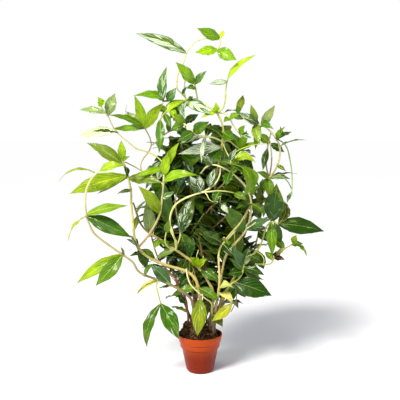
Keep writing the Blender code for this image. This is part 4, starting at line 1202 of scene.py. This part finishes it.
def stemCanvas():
    shape = bmesh.new()
    shape.verts.layers.float_color.new("stemColour")
    shape.verts.layers.float.new("stemNode")
    return shape


def growStem(plan, line, blades, draw):
    shape = stemCanvas()
    tones = shape.verts.layers.float_color["stemColour"]
    swollen = shape.verts.layers.float["stemNode"]
    travelled, nodes = nodePlaces(line, blades, draw)
    last = len(line) - 1
    swells = []
    for place in travelled:
        gap = min((abs(place - node) for node in nodes), default=1.0) / mm
        swells.append(math.exp(-(gap / stemShape["swellReach"]) ** 2))
    thick, thin = (plan[way] * stemShape["fuller"] for way in ("thick", "thin"))
    radii = [between(thick, thin, number / last) * (1 + stemShape["swell"] * swell) * mm
             for number, swell in enumerate(swells)]
    rings = growTube(shape, line, radii, stemShape["sides"])
    footTone, tipTone = (stemTones[tone] for tone in plan["tones"])
    for number, (ring, swell) in enumerate(zip(rings, swells)):
        risen = shareOf(line[number].z / mm, *stemShape["brownHeights"])
        own = [between(foot, tip, number / last) for foot, tip in zip(footTone, tipTone)]
        tone = [between(brown, skin, risen) for brown, skin in zip(stemShape["soilBrown"], own)]
        for corner in ring:
            corner[tones] = shade(tone)
            corner[swollen] = swell
    bmesh.ops.recalc_face_normals(shape, faces=shape.faces)
    smoothAll(shape)
    return shape


def growStems(name, plan, number, material):
    whole = stemCanvas()
    draw = random.Random(seeds["stems"] + number)
    for each, line in zip(plan["stems"], plan["fineLines"]):
        joinTo(whole, growStem(each, line, plan["blades"], draw))
    return finishMesh(name + "_stems", whole, material)


# Small helpers for the materials' nodes
def addNode(tree, kind, **settings):
    made = tree.nodes.new(kind)
    for name, value in settings.items():
        setattr(made, name, value)
    return made


def feed(tree, value, socket):
    # a socket is linked, a number or colour is set
    if isinstance(value, bpy.types.NodeSocket):
        tree.links.new(value, socket)
    else:
        socket.default_value = value


def sums(tree, operation, *values):
    made = addNode(tree, "ShaderNodeMath", operation=operation)
    for value, socket in zip(values, made.inputs):
        feed(tree, value, socket)
    return made.outputs[0]


def times(tree, first, second):
    return sums(tree, "MULTIPLY", first, second)


def plus(tree, first, second):
    return sums(tree, "ADD", first, second)


def less(tree, first, second):
    return sums(tree, "SUBTRACT", first, second)


def rise(tree, value, low, high, ends=(0.0, 1.0)):
    # the first end below low, the second above high, smooth between
    made = addNode(tree, "ShaderNodeMapRange", interpolation_type="SMOOTHSTEP")
    for part, socket in zip((value, low, high, *ends), made.inputs):
        feed(tree, part, socket)
    return made.outputs["Result"]


def fall(tree, value, low, high, top=1.0):
    return rise(tree, value, low, high, (top, 0.0))


def mixed(tree, share, first, second, blend="MIX"):
    made = addNode(tree, "ShaderNodeMix", data_type="RGBA", blend_type=blend)
    feed(tree, share, made.inputs[0])
    feed(tree, first, made.inputs[6])
    feed(tree, second, made.inputs[7])
    return made.outputs[2]


def objectNoise(tree, scale, detail=3.0, stretch=None):
    place = addNode(tree, "ShaderNodeTexCoord").outputs["Object"]
    if stretch:
        mapping = addNode(tree, "ShaderNodeMapping")
        mapping.inputs["Scale"].default_value = stretch
        tree.links.new(place, mapping.inputs["Vector"])
        place = mapping.outputs["Vector"]
    made = addNode(tree, "ShaderNodeTexNoise")
    tree.links.new(place, made.inputs["Vector"])
    feed(tree, scale, made.inputs["Scale"])
    made.inputs["Detail"].default_value = detail
    return made.outputs["Fac"]


mottleLook = {"finer": 7.0, "coarseShare": 0.65, "contrast": 4.0}


def makeMottle():
    # uneven growth or colouring: a coarse and a fine noise over the colour, with their height
    group = bpy.data.node_groups.new("mottle", "ShaderNodeTree")
    for name, kind, value in (("Colour", "NodeSocketColor", (0.5, 0.5, 0.5, 1.0)),
                              ("Scale", "NodeSocketFloat", 60.0),
                              ("Amount", "NodeSocketFloat", 0.2)):
        made = group.interface.new_socket(name, in_out="INPUT", socket_type=kind)
        made.default_value = value
    group.interface.new_socket("Colour", in_out="OUTPUT", socket_type="NodeSocketColor")
    group.interface.new_socket("Height", in_out="OUTPUT", socket_type="NodeSocketFloat")
    start = addNode(group, "NodeGroupInput").outputs
    end = addNode(group, "NodeGroupOutput").inputs
    coarse = objectNoise(group, start["Scale"])
    fine = objectNoise(group, times(group, start["Scale"], mottleLook["finer"]))
    share = mottleLook["coarseShare"]
    both = plus(group, times(group, coarse, share), times(group, fine, 1 - share))
    spread = times(group, less(group, both, 0.5), start["Amount"])
    gain = plus(group, times(group, spread, mottleLook["contrast"]), 1.0)
    tinted = addNode(group, "ShaderNodeVectorMath", operation="SCALE")
    group.links.new(start["Colour"], tinted.inputs[0])
    group.links.new(gain, tinted.inputs["Scale"])
    group.links.new(tinted.outputs[0], end["Colour"])
    group.links.new(both, end["Height"])
    return group


def mottled(tree, colour, scale, amount):
    made = addNode(tree, "ShaderNodeGroup", node_tree=mottle)
    feed(tree, colour, made.inputs["Colour"])
    made.inputs["Scale"].default_value = scale
    made.inputs["Amount"].default_value = amount
    return made.outputs["Colour"], made.outputs["Height"]


def newMaterial(name, **sockets):
    made = bpy.data.materials.new(name)
    made.use_nodes = True
    tree = made.node_tree
    surface = tree.nodes["Principled BSDF"]
    for socket, value in sockets.items():
        surface.inputs[socket.replace("_", " ")].default_value = value
    return made, tree, surface


def finishSurface(tree, surface, colour, rough, height, distance, strength):
    tree.links.new(colour, surface.inputs["Base Color"])
    tree.links.new(rough, surface.inputs["Roughness"])
    bump = addNode(tree, "ShaderNodeBump")
    bump.inputs["Distance"].default_value = distance * mm
    bump.inputs["Strength"].default_value = strength
    feed(tree, height, bump.inputs["Height"])
    tree.links.new(bump.outputs["Normal"], surface.inputs["Normal"])


def roughness(tree, grain, least, spread):
    return plus(tree, times(tree, grain, spread), least)


# How a blade looks. "out" runs from 0 at the rib to 1 at the margin, "saw" from 0 between two
# veins to 0.5 on one; the pairs for these and for a streak are where something starts and where
# it is full. For every surface, mottle is a scale and an amount, rough the least and the spread,
# and bump a distance in mm and a strength
leafLook = {
    "mottle": (90.0, 0.18),
    "veins": 8.0,                    # side veins on each half
    "swept": 2.9,                    # how far they run forward to the margin
    "curved": 1.2,
    "offset": 0.4,                   # the two halves don't match
    "veinGain": (2.0, 1.75, 1.4),    # how much paler they are than the blade, in linear light
    "veinSaw": (0.38, 0.49),
    "veinEndOut": (0.72, 1.0),
    "veinShow": 0.55,
    "ribOut": (0.02, 0.085),
    "ribShow": 0.85,
    "streakAlong": 1.1,
    "streakAcross": 0.45,
    "streakDrift": (14.0, 6.0),      # how fast and how far the streaks change from leaf to leaf
    "darkGrowth": (0.45, 0.58, 0.34),
    "darkStreak": (0.36, 0.62),
    "darkShow": 0.75,
    # painted glints: the pale streaks between the veins, with some pale variegation
    "paleGlintTone": (0.84, 0.91, 0.80),
    "paleFrom": (0.74, 0.36),        # where the painted glints start, and how much earlier if streaked
    "paleSoft": 0.09,
    "paleEndOut": (0.86, 0.97),
    "paleSaw": (0.26, 0.46),         # it lies between the veins
    "paleShow": (0.9, 0.15),         # there, and on them
    "edgeTone": (0.48, 0.52, 0.06),
    "edgeOut": (0.86, 1.0),
    "edgeShow": 0.2,
    "rough": (0.21, 0.25),
    "domed": 3.0,                    # how flat the swelling between the veins is at its top
    "relief": {"dome": 0.7, "grain": 0.5, "streak": 0.8, "rib": -0.8},
    "bump": (0.9, 0.7),
}


def veinLayout(tree, place):
    # from the leaf's own map: how far out from the rib, and where between two side veins
    parts = addNode(tree, "ShaderNodeSeparateXYZ")
    tree.links.new(place, parts.inputs[0])
    along, across = parts.outputs["X"], parts.outputs["Y"]
    out = times(tree, sums(tree, "ABSOLUTE", less(tree, across, 0.5)), 2.0)
    half = sums(tree, "GREATER_THAN", across, 0.5)
    forward = times(tree, sums(tree, "POWER", out, leafLook["curved"]), leafLook["swept"])
    phase = less(tree, times(tree, along, leafLook["veins"]), forward)
    phase = plus(tree, phase, times(tree, half, leafLook["offset"]))
    saw = sums(tree, "ABSOLUTE", less(tree, sums(tree, "FRACT", phase), 0.5))
    return out, phase, saw


def streakNoise(tree, phase, out):
    # a noise stretched along the side veins, with another slice of it for each leaf
    fast, far = leafLook["streakDrift"]
    place = addNode(tree, "ShaderNodeCombineXYZ")
    feed(tree, times(tree, phase, leafLook["streakAlong"]), place.inputs["X"])
    feed(tree, times(tree, out, leafLook["streakAcross"]), place.inputs["Y"])
    feed(tree, times(tree, objectNoise(tree, fast, 0.0), far), place.inputs["Z"])
    made = addNode(tree, "ShaderNodeTexNoise")
    tree.links.new(place.outputs[0], made.inputs["Vector"])
    made.inputs["Scale"].default_value = 1.0
    made.inputs["Detail"].default_value = 2.0
    return made.outputs["Fac"]


def leafMaterial():
    made, tree, surface = newMaterial("leafSurface", Specular_IOR_Level=0.17, Coat_Weight=0.2,
                                      Coat_Roughness=0.1)
    own = addNode(tree, "ShaderNodeAttribute", attribute_name="leafColour").outputs
    place = addNode(tree, "ShaderNodeUVMap", uv_map="leafUV").outputs["UV"]
    out, phase, saw = veinLayout(tree, place)
    streak = streakNoise(tree, phase, out)
    colour, grain = mottled(tree, own["Color"], *leafLook["mottle"])
    # greener, darker growth between the veins
    dark = mixed(tree, 1.0, colour, (*leafLook["darkGrowth"], 1.0), "MULTIPLY")
    shaded = fall(tree, streak, *leafLook["darkStreak"], leafLook["darkShow"])
    colour = mixed(tree, shaded, colour, dark)
    # painted glints as pale streaks between the veins, with some pale variegation, more of them the
    # more the blade is streaked
    latest, earlier = leafLook["paleFrom"]
    start = less(tree, latest, times(tree, own["Alpha"], earlier))
    patch = rise(tree, streak, start, plus(tree, start, leafLook["paleSoft"]))
    patch = times(tree, patch, fall(tree, out, *leafLook["paleEndOut"]))
    patch = times(tree, patch, rise(tree, saw, *leafLook["paleSaw"], leafLook["paleShow"]))
    colour = mixed(tree, patch, colour, shade(leafLook["paleGlintTone"]))
    margin = rise(tree, out, *leafLook["edgeOut"], (0.0, leafLook["edgeShow"]))
    colour = mixed(tree, margin, colour, shade(leafLook["edgeTone"]))
    # the veins and the rib are a paler tone of whatever lies under them
    midrib = fall(tree, out, *leafLook["ribOut"])
    sideVein = times(tree, rise(tree, saw, *leafLook["veinSaw"]),
                     fall(tree, out, *leafLook["veinEndOut"]))
    veins = sums(tree, "MAXIMUM", times(tree, midrib, leafLook["ribShow"]),
                 times(tree, sideVein, leafLook["veinShow"]))
    paler = mixed(tree, 1.0, colour, (*leafLook["veinGain"], 1.0), "MULTIPLY")
    colour = mixed(tree, veins, colour, paler)
    dome = less(tree, 1.0, sums(tree, "POWER", times(tree, saw, 2.0), leafLook["domed"]))
    relief = leafLook["relief"]
    height = plus(tree, times(tree, dome, relief["dome"]), times(tree, grain, relief["grain"]))
    height = plus(tree, height, times(tree, streak, relief["streak"]))
    height = plus(tree, height, times(tree, midrib, relief["rib"]))
    rough = roughness(tree, grain, *leafLook["rough"])
    finishSurface(tree, surface, colour, rough, height, *leafLook["bump"])
    return made


stemLook = {
    "mottle": (160.0, 0.22),
    "nodeTone": (0.40, 0.36, 0.17),
    "nodeSwell": (0.72, 0.98),
    "nodeShow": 0.5,
    "rough": (0.27, 0.3),
    "bump": (0.35, 0.4),
}


def stemMaterial():
    made, tree, surface = newMaterial("stemSkin", Subsurface_Weight=0.05, Subsurface_Scale=0.001)
    own = addNode(tree, "ShaderNodeAttribute", attribute_name="stemColour").outputs["Color"]
    node = addNode(tree, "ShaderNodeAttribute", attribute_name="stemNode").outputs["Fac"]
    colour, grain = mottled(tree, own, *stemLook["mottle"])
    ring = rise(tree, node, *stemLook["nodeSwell"], (0.0, stemLook["nodeShow"]))
    colour = mixed(tree, ring, colour, shade(stemLook["nodeTone"]))
    rough = roughness(tree, grain, *stemLook["rough"])
    finishSurface(tree, surface, colour, rough, grain, *stemLook["bump"])
    return made


# The pot: turned from its profile of radius and height in mm, with four drain holes
potShape = {
    "outside": ((0.0, 0.0), (16.5, 0.0), (18.8, 0.9), (20.3, 3.8), (26.6, 35.6), (28.7, 36.4),
                (29.3, 43.6), (30.5, 44.6), (32.5, 54.2), (32.2, 55.0)),
    "inside": ((31.0, 54.8), (28.9, 45.4), (27.5, 44.2), (25.1, 36.0), (18.5, 4.0), (17.0, 2.0),
               (0.0, 2.0)),
    "steps": 96,
    "round": 0.45,
    "roundedPast": 14.0,    # edges sharper than this, in degrees, are rounded
    "sharpPast": 40.0,      # and those that are still sharper than this stay crisp
    "drains": 4,
    "firstDrain": 45.0,
    "drainRing": 11.0,
    "drainRadius": 2.6,
    "drainSides": 24,
    "drill": (1.0, 6.0),    # the drill's middle height and its length
}
potLook = {
    "tone": (0.66, 0.25, 0.06),
    # painted shade: the body darkens below the collar, towards its foot
    "bodyShadeTone": (0.36, 0.04, 0.0),
    "bodyShadeHeights": (20.0, 47.0),
    "bodyShadeShow": 0.75,
    "mottle": (45.0, 0.07),
    # painted shade: dark lines in the two grooves under the collar's steps
    "grooves": (35.4, 43.9),
    "grooveWide": (0.15, 0.9),
    "grooveShadeTone": (0.33, 0.09, 0.04),
    "grooveShadeShow": 0.6,
    "scuffs": (900.0, 2.0, (1.0, 1.0, 0.12)),    # scale, detail and stretch of their noise
    "scuffNoise": (0.66, 0.74),
    "scuffTone": (0.86, 0.52, 0.38),
    "scuffShow": 0.18,
    "scuffRelief": 0.2,
    "dust": (320.0, 4.0),
    "dustNoise": (0.52, 0.68),
    "dustHeights": (51.0, 55.0),
    "dustTone": (0.34, 0.22, 0.14),
    "dustShow": 0.55,
    "dustRough": 0.3,
    "rough": (0.23, 0.2),
    "bump": (0.12, 0.35),
}


def onCircle(radius, angle):
    return radius * math.cos(angle), radius * math.sin(angle)


def spinProfile(profile, steps):
    # a profile of radius and height, turned about the pot's axis
    shape = bmesh.new()
    corners = [shape.verts.new((radius * mm, 0.0, height * mm)) for radius, height in profile]
    edges = [shape.edges.new(pair) for pair in zip(corners, corners[1:])]
    bmesh.ops.spin(shape, geom=corners + edges, axis=upward, cent=(0.0, 0.0, 0.0), steps=steps,
                   angle=math.tau, use_merge=True)
    bmesh.ops.remove_doubles(shape, verts=shape.verts, dist=tiny)
    bmesh.ops.recalc_face_normals(shape, faces=shape.faces)
    smoothAll(shape)
    return shape


def cutDrains(pot):
    drills = bmesh.new()
    radius = potShape["drainRadius"] * mm
    middle, long = potShape["drill"]
    for number in range(potShape["drains"]):
        angle = math.radians(potShape["firstDrain"]) + math.tau * number / potShape["drains"]
        place = Matrix.Translation((*onCircle(potShape["drainRing"] * mm, angle), middle * mm))
        bmesh.ops.create_cone(drills, cap_ends=True, segments=potShape["drainSides"],
                              radius1=radius, radius2=radius, depth=long * mm, matrix=place)
    mesh = bpy.data.meshes.new("drills")
    drills.to_mesh(mesh)
    drills.free()
    cutter = bpy.data.objects.new("drills", mesh)
    bpy.context.scene.collection.objects.link(cutter)
    cut = pot.modifiers.new("drains", "BOOLEAN")
    cut.operation = "DIFFERENCE"
    cut.object = cutter
    graph = bpy.context.evaluated_depsgraph_get()
    pot.data = bpy.data.meshes.new_from_object(pot.evaluated_get(graph))
    pot.modifiers.clear()
    bpy.data.objects.remove(cutter)
    pot.data.set_sharp_from_angle(angle=math.radians(potShape["sharpPast"]))


def potMaterial():
    made, tree, surface = newMaterial("pottedPlastic", Specular_IOR_Level=0.12, Sheen_Weight=0.09,
                                      Sheen_Roughness=0.16, Sheen_Tint=(1.0, 0.62, 0.5, 1.0))
    place = addNode(tree, "ShaderNodeSeparateXYZ")
    tree.links.new(addNode(tree, "ShaderNodeTexCoord").outputs["Object"], place.inputs[0])
    height = times(tree, place.outputs["Z"], 1 / mm)
    # painted shade: darker below the collar, towards the foot
    lower = fall(tree, height, *potLook["bodyShadeHeights"], potLook["bodyShadeShow"])
    colour = mixed(tree, lower, shade(potLook["tone"]), shade(potLook["bodyShadeTone"]))
    colour, grain = mottled(tree, colour, *potLook["mottle"])
    # painted shade in the two grooves under the collar's steps
    for groove in potLook["grooves"]:
        gap = sums(tree, "ABSOLUTE", less(tree, height, groove))
        grooveShade = fall(tree, gap, *potLook["grooveWide"], potLook["grooveShadeShow"])
        colour = mixed(tree, grooveShade, colour, shade(potLook["grooveShadeTone"]))
    # fine upright scuffs, and soil dust round the rim
    scuffs = rise(tree, objectNoise(tree, *potLook["scuffs"]), *potLook["scuffNoise"])
    colour = mixed(tree, times(tree, scuffs, potLook["scuffShow"]), colour,
                   shade(potLook["scuffTone"]))
    dusty = times(tree, rise(tree, height, *potLook["dustHeights"]),
                  rise(tree, objectNoise(tree, *potLook["dust"]), *potLook["dustNoise"]))
    colour = mixed(tree, times(tree, dusty, potLook["dustShow"]), colour, shade(potLook["dustTone"]))
    rough = plus(tree, roughness(tree, grain, *potLook["rough"]),
                 times(tree, dusty, potLook["dustRough"]))
    relief = plus(tree, grain, times(tree, scuffs, potLook["scuffRelief"]))
    finishSurface(tree, surface, colour, rough, relief, *potLook["bump"])
    return made


def makePot():
    profile = [*reversed(potShape["inside"]), *reversed(potShape["outside"])]
    shape = spinProfile(profile, potShape["steps"])
    past = math.radians(potShape["roundedPast"])
    sharp = [edge for edge in shape.edges if edge.calc_face_angle(0.0) > past
             and abs(edge.verts[0].co.z - edge.verts[1].co.z) < tiny]
    bmesh.ops.bevel(shape, geom=sharp, affect="EDGES", offset=potShape["round"] * mm, segments=2,
                    profile=0.5, material=-1, clamp_overlap=True)
    pot = finishMesh("pot_shell", shape, potMaterial())
    cutDrains(pot)
    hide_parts("pot")


# The soil: a rough mound with bark chips, crumbs and coir fibres on it
soilShape = {
    "side": ((0.0, 2.4), (16.7, 2.4), (18.1, 4.3), (24.6, 36.1), (27.0, 44.5), (28.4, 45.7),
             (29.3, 50.0)),
    "mound": ((29.3, 50.0), (26.0, 55.2), (20.0, 59.6), (11.0, 62.4), (0.0, 63.4)),
    "slope": 0.075,         # up to the left and the back
    "heap": (-20.0, 3.0, 11.0, 10.0),    # place, reach and height of the heap at the left
    "rings": 26,
    "steps": 120,
    "level": 5.0,           # lumps and heap fade out over this much before the pot's wall
    "lumps": (3.0, 0.16, 1.3),    # layer of the noise, how fine it is and its height
    "crumbs": (9.0, 0.7, 0.5),
    "tone": (0.11, 0.06, 0.02),
    "mottle": (260.0, 0.35),
    "specks": (1400.0, 2.0),
    "speckNoise": (0.6, 0.7),
    "speckTone": (0.34, 0.24, 0.14),
    "speckShow": 0.4,
    "rough": (0.66, 0.3),
    "bump": (1.2, 0.8),
}


def moundHeight(x, y):
    # the soil's height over a place in the pot, all in mm
    mound = soilShape["mound"]
    radius = math.hypot(x, y)
    for (outer, low), (inner, high) in zip(mound, mound[1:]):
        if radius >= inner:
            flat = between(low, high, min(1.0, (outer - radius) / (outer - inner)))
            break
    inside = shareOf(mound[0][0] - radius, 0.0, soilShape["level"])
    heapX, heapY, reach, high = soilShape["heap"]
    raised = high * math.exp(-((x - heapX) ** 2 + (y - heapY) ** 2) / reach**2)
    for layer, fine, tall in (soilShape["lumps"], soilShape["crumbs"]):
        raised += noise.noise(Vector((x, y, layer)) * fine) * tall
    return flat + inside * (soilShape["slope"] * (y - x) + raised)


def soilMaterial(name, attribute=None):
    made, tree, surface = newMaterial(name, Specular_IOR_Level=0.15)
    own = shade(soilShape["tone"])
    if attribute:
        own = addNode(tree, "ShaderNodeAttribute", attribute_name=attribute).outputs["Color"]
    colour, grain = mottled(tree, own, *soilShape["mottle"])
    specks = rise(tree, objectNoise(tree, *soilShape["specks"]), *soilShape["speckNoise"],
                  (0.0, soilShape["speckShow"]))
    colour = mixed(tree, specks, colour, shade(soilShape["speckTone"]))
    rough = roughness(tree, grain, *soilShape["rough"])
    finishSurface(tree, surface, colour, rough, grain, *soilShape["bump"])
    return made


def makeSoil():
    outer = soilShape["mound"][0][0]
    rings = soilShape["rings"]
    mound = [(outer * (1 - number / rings), 0.0) for number in range(1, rings + 1)]
    shape = spinProfile([*soilShape["side"], *mound], soilShape["steps"])
    for corner in shape.verts:
        if corner.co.z < tiny:
            corner.co.z = moundHeight(corner.co.x / mm, corner.co.y / mm) * mm
    bmesh.ops.recalc_face_normals(shape, faces=shape.faces)
    soil = finishMesh("soil_mound", shape, soilMaterial("moistSoil"))
    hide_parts("soil")


# Chips and fibres lie on the mound at random, in these sizes
chipShape = {
    "count": 620,
    "reach": 28.0,
    "size": ((1.4, 5.5), (0.7, 2.0), (0.4, 1.1)),    # the least and the most each way
    "lift": 0.2,
    "tilts": (0.32, 0.3),
    "uneven": 0.16,
    "tones": ((0.12, 0.07, 0.03), (0.20, 0.12, 0.05), (0.32, 0.21, 0.11), (0.45, 0.33, 0.20),
              (0.06, 0.03, 0.01), (0.26, 0.12, 0.05)),
    "fibres": 170,
    "fibreFrom": 22.0,      # fibres start no further out
    "fibreLong": (6.0, 15.0),
    "fibreSteps": 7,
    "fibreLift": (0.3, 1.1),
    "fibreTurns": 0.4,
    "fibreThick": 0.22,
    "fibreSides": 4,
    "fibreTone": (0.48, 0.36, 0.22),
}


def addChip(shape, colours, draw):
    radius = chipShape["reach"] * math.sqrt(draw.random())
    x, y = onCircle(radius, draw.uniform(0, math.tau))
    size = Vector([draw.uniform(*ends) for ends in chipShape["size"]]) * mm
    turn = Matrix.Rotation(draw.uniform(0, math.tau), 3, "Z")
    for axis, tilt in zip("YX", chipShape["tilts"]):
        turn = turn @ Matrix.Rotation(draw.gauss(0, tilt), 3, axis)
    place = Vector((x, y, moundHeight(x, y) + chipShape["lift"])) * mm
    lie = Matrix.LocRotScale(place, turn, size)
    corners = bmesh.ops.create_cube(shape, size=1.0, matrix=lie)["verts"]
    for corner in corners:
        corner.co += Vector([draw.uniform(-1, 1) * chipShape["uneven"] for way in range(3)]) * mm
    tint(facesOf(corners), colours, shade(draw.choice(chipShape["tones"])))


def fibreRun(draw):
    # a fibre that wanders over the mound
    x, y = onCircle(draw.uniform(0, chipShape["fibreFrom"]), draw.uniform(0, math.tau))
    way = draw.uniform(0, math.tau)
    step = draw.uniform(*chipShape["fibreLong"]) / chipShape["fibreSteps"]
    points = []
    for number in range(chipShape["fibreSteps"] + 1):
        if math.hypot(x, y) > chipShape["reach"]:
            break
        height = moundHeight(x, y) + draw.uniform(*chipShape["fibreLift"])
        points.append(Vector((x, y, height)) * mm)
        way += draw.gauss(0, chipShape["fibreTurns"])
        x += step * math.cos(way)
        y += step * math.sin(way)
    return points if len(points) > 2 else fibreRun(draw)


def makeChips():
    shape = bmesh.new()
    colours = shape.loops.layers.float_color.new("chipColour")
    draw = random.Random(seeds["chips"])
    for number in range(chipShape["count"]):
        addChip(shape, colours, draw)
    for number in range(chipShape["fibres"]):
        points = fibreRun(draw)
        radii = [chipShape["fibreThick"] * mm] * len(points)
        rings = growTube(shape, points, radii, chipShape["fibreSides"])
        tint(facesOf(itertools.chain(*rings)), colours, shade(chipShape["fibreTone"]))
    bmesh.ops.recalc_face_normals(shape, faces=shape.faces)
    chips = finishMesh("soil_chips", shape, soilMaterial("barkChips", "chipColour"))


# Floor, light and camera
studio = {
    "floor": (0.955, 0.965, 1.0),
    "floorMottle": (3.0, 0.01),
    "floorGlow": (0.0, 0.006, 0.042),
    "floorReach": 40.0,
    "backdrop": 1.0,        # how bright the space behind the plant looks
    "ambient": 0.30,        # how much of it lights the plant
    "mirrored": 0.10,       # how bright it looks in the leaves' gloss
    "sunFrom": (-0.75, -0.95, 1.35),
    "sun": 3.7,
    "warmth": (1.0, 0.96, 0.84),
    "sky": (1.0, 0.985, 0.95),
    "sunAngle": 18.0,
    "panels": (
        {"name": "left_panel", "place": (-1.3, -0.2, 0.8), "size": 0.9, "power": 9.0},
        {"name": "right_panel", "place": (1.2, -0.7, 0.5), "size": 0.6, "power": 4.0},
        {"name": "top_panel", "place": (-0.1, -0.5, 1.05), "size": 0.5, "power": 3.5},
    ),
    "lookAt": (0.0, 0.0, 0.22),
}


def makeFloor():
    shape = bmesh.new()
    bmesh.ops.create_grid(shape, x_segments=2, y_segments=2, size=studio["floorReach"])
    mesh = bpy.data.meshes.new("floor")
    shape.to_mesh(mesh)
    shape.free()
    made, tree, surface = newMaterial("paleFloor", Roughness=0.7, Specular_IOR_Level=0.0,
                                      Emission_Color=(*studio["floorGlow"], 1.0),
                                      Emission_Strength=1.0)
    colour = mottled(tree, shade(studio["floor"]), *studio["floorMottle"])[0]
    tree.links.new(colour, surface.inputs["Base Color"])
    mesh.materials.append(made)
    floor = bpy.data.objects.new("floor", mesh)
    bpy.context.scene.collection.objects.link(floor)


def placeLamp(lamp, place):
    # a lamp turned towards the middle of the plant
    made = bpy.data.objects.new(lamp.name, lamp)
    made.location = place
    aim = Vector(studio["lookAt"]) - made.location
    made.rotation_euler = aim.to_track_quat("-Z", "Y").to_euler()
    bpy.context.scene.collection.objects.link(made)


def addLights():
    sun = bpy.data.lights.new("sun", "SUN")
    sun.energy = studio["sun"]
    sun.color = studio["warmth"]
    sun.angle = math.radians(studio["sunAngle"])
    placeLamp(sun, studio["sunFrom"])
    for plan in studio["panels"]:
        lamp = bpy.data.lights.new(plan["name"], "AREA")
        lamp.energy = plan["power"]
        lamp.color = studio["warmth"]
        lamp.size = plan["size"]
        placeLamp(lamp, plan["place"])
    world = bpy.data.worlds.new("studio")
    world.use_nodes = True
    tree = world.node_tree
    rays = addNode(tree, "ShaderNodeLightPath").outputs
    seen = times(tree, rays["Is Camera Ray"], studio["backdrop"] - studio["ambient"])
    mirrored = times(tree, rays["Is Glossy Ray"], studio["mirrored"] - studio["ambient"])
    strength = plus(tree, plus(tree, seen, studio["ambient"]), mirrored)
    white = (1.0, 1.0, 1.0, 1.0)
    colour = mixed(tree, rays["Is Camera Ray"], (*studio["sky"], 1.0), white)
    sky = tree.nodes["Background"]
    tree.links.new(colour, sky.inputs["Color"])
    tree.links.new(strength, sky.inputs["Strength"])
    bpy.context.scene.world = world
    bpy.context.scene.view_settings.view_transform = "Standard"


def addCamera():
    lens = bpy.data.cameras.new("camera")
    lens.lens = view["focal"]
    camera = bpy.data.objects.new("camera", lens)
    camera.location = eye
    camera.rotation_euler = (math.radians(90 - view["pitch"]), 0.0, 0.0)
    bpy.context.scene.collection.objects.link(camera)
    bpy.context.scene.camera = camera


mottle = makeMottle()
addCamera()
addLights()
makeFloor()
print("studio ready")
plans, taken = planPlant()
addFiner(plans, taken)
settlePlant(plans)
print("planned", len(plans), "shoots,", sum(len(plan["blades"]) for plan in plans.values()), "leaves")
thicken(plans, taken)
print("thickened to", sum(len(plan["blades"]) for plan in plans.values()), "leaves")
leafSkin = leafMaterial()
stemSkin = stemMaterial()
for number, (name, plan) in enumerate(plans.items()):
    for piece in (growStems(name, plan, number, stemSkin), growLeaves(name, plan, leafSkin)):
        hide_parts(name)
    print(name, "grown")
makePot()
makeSoil()
makeChips()
print("pot and soil made")
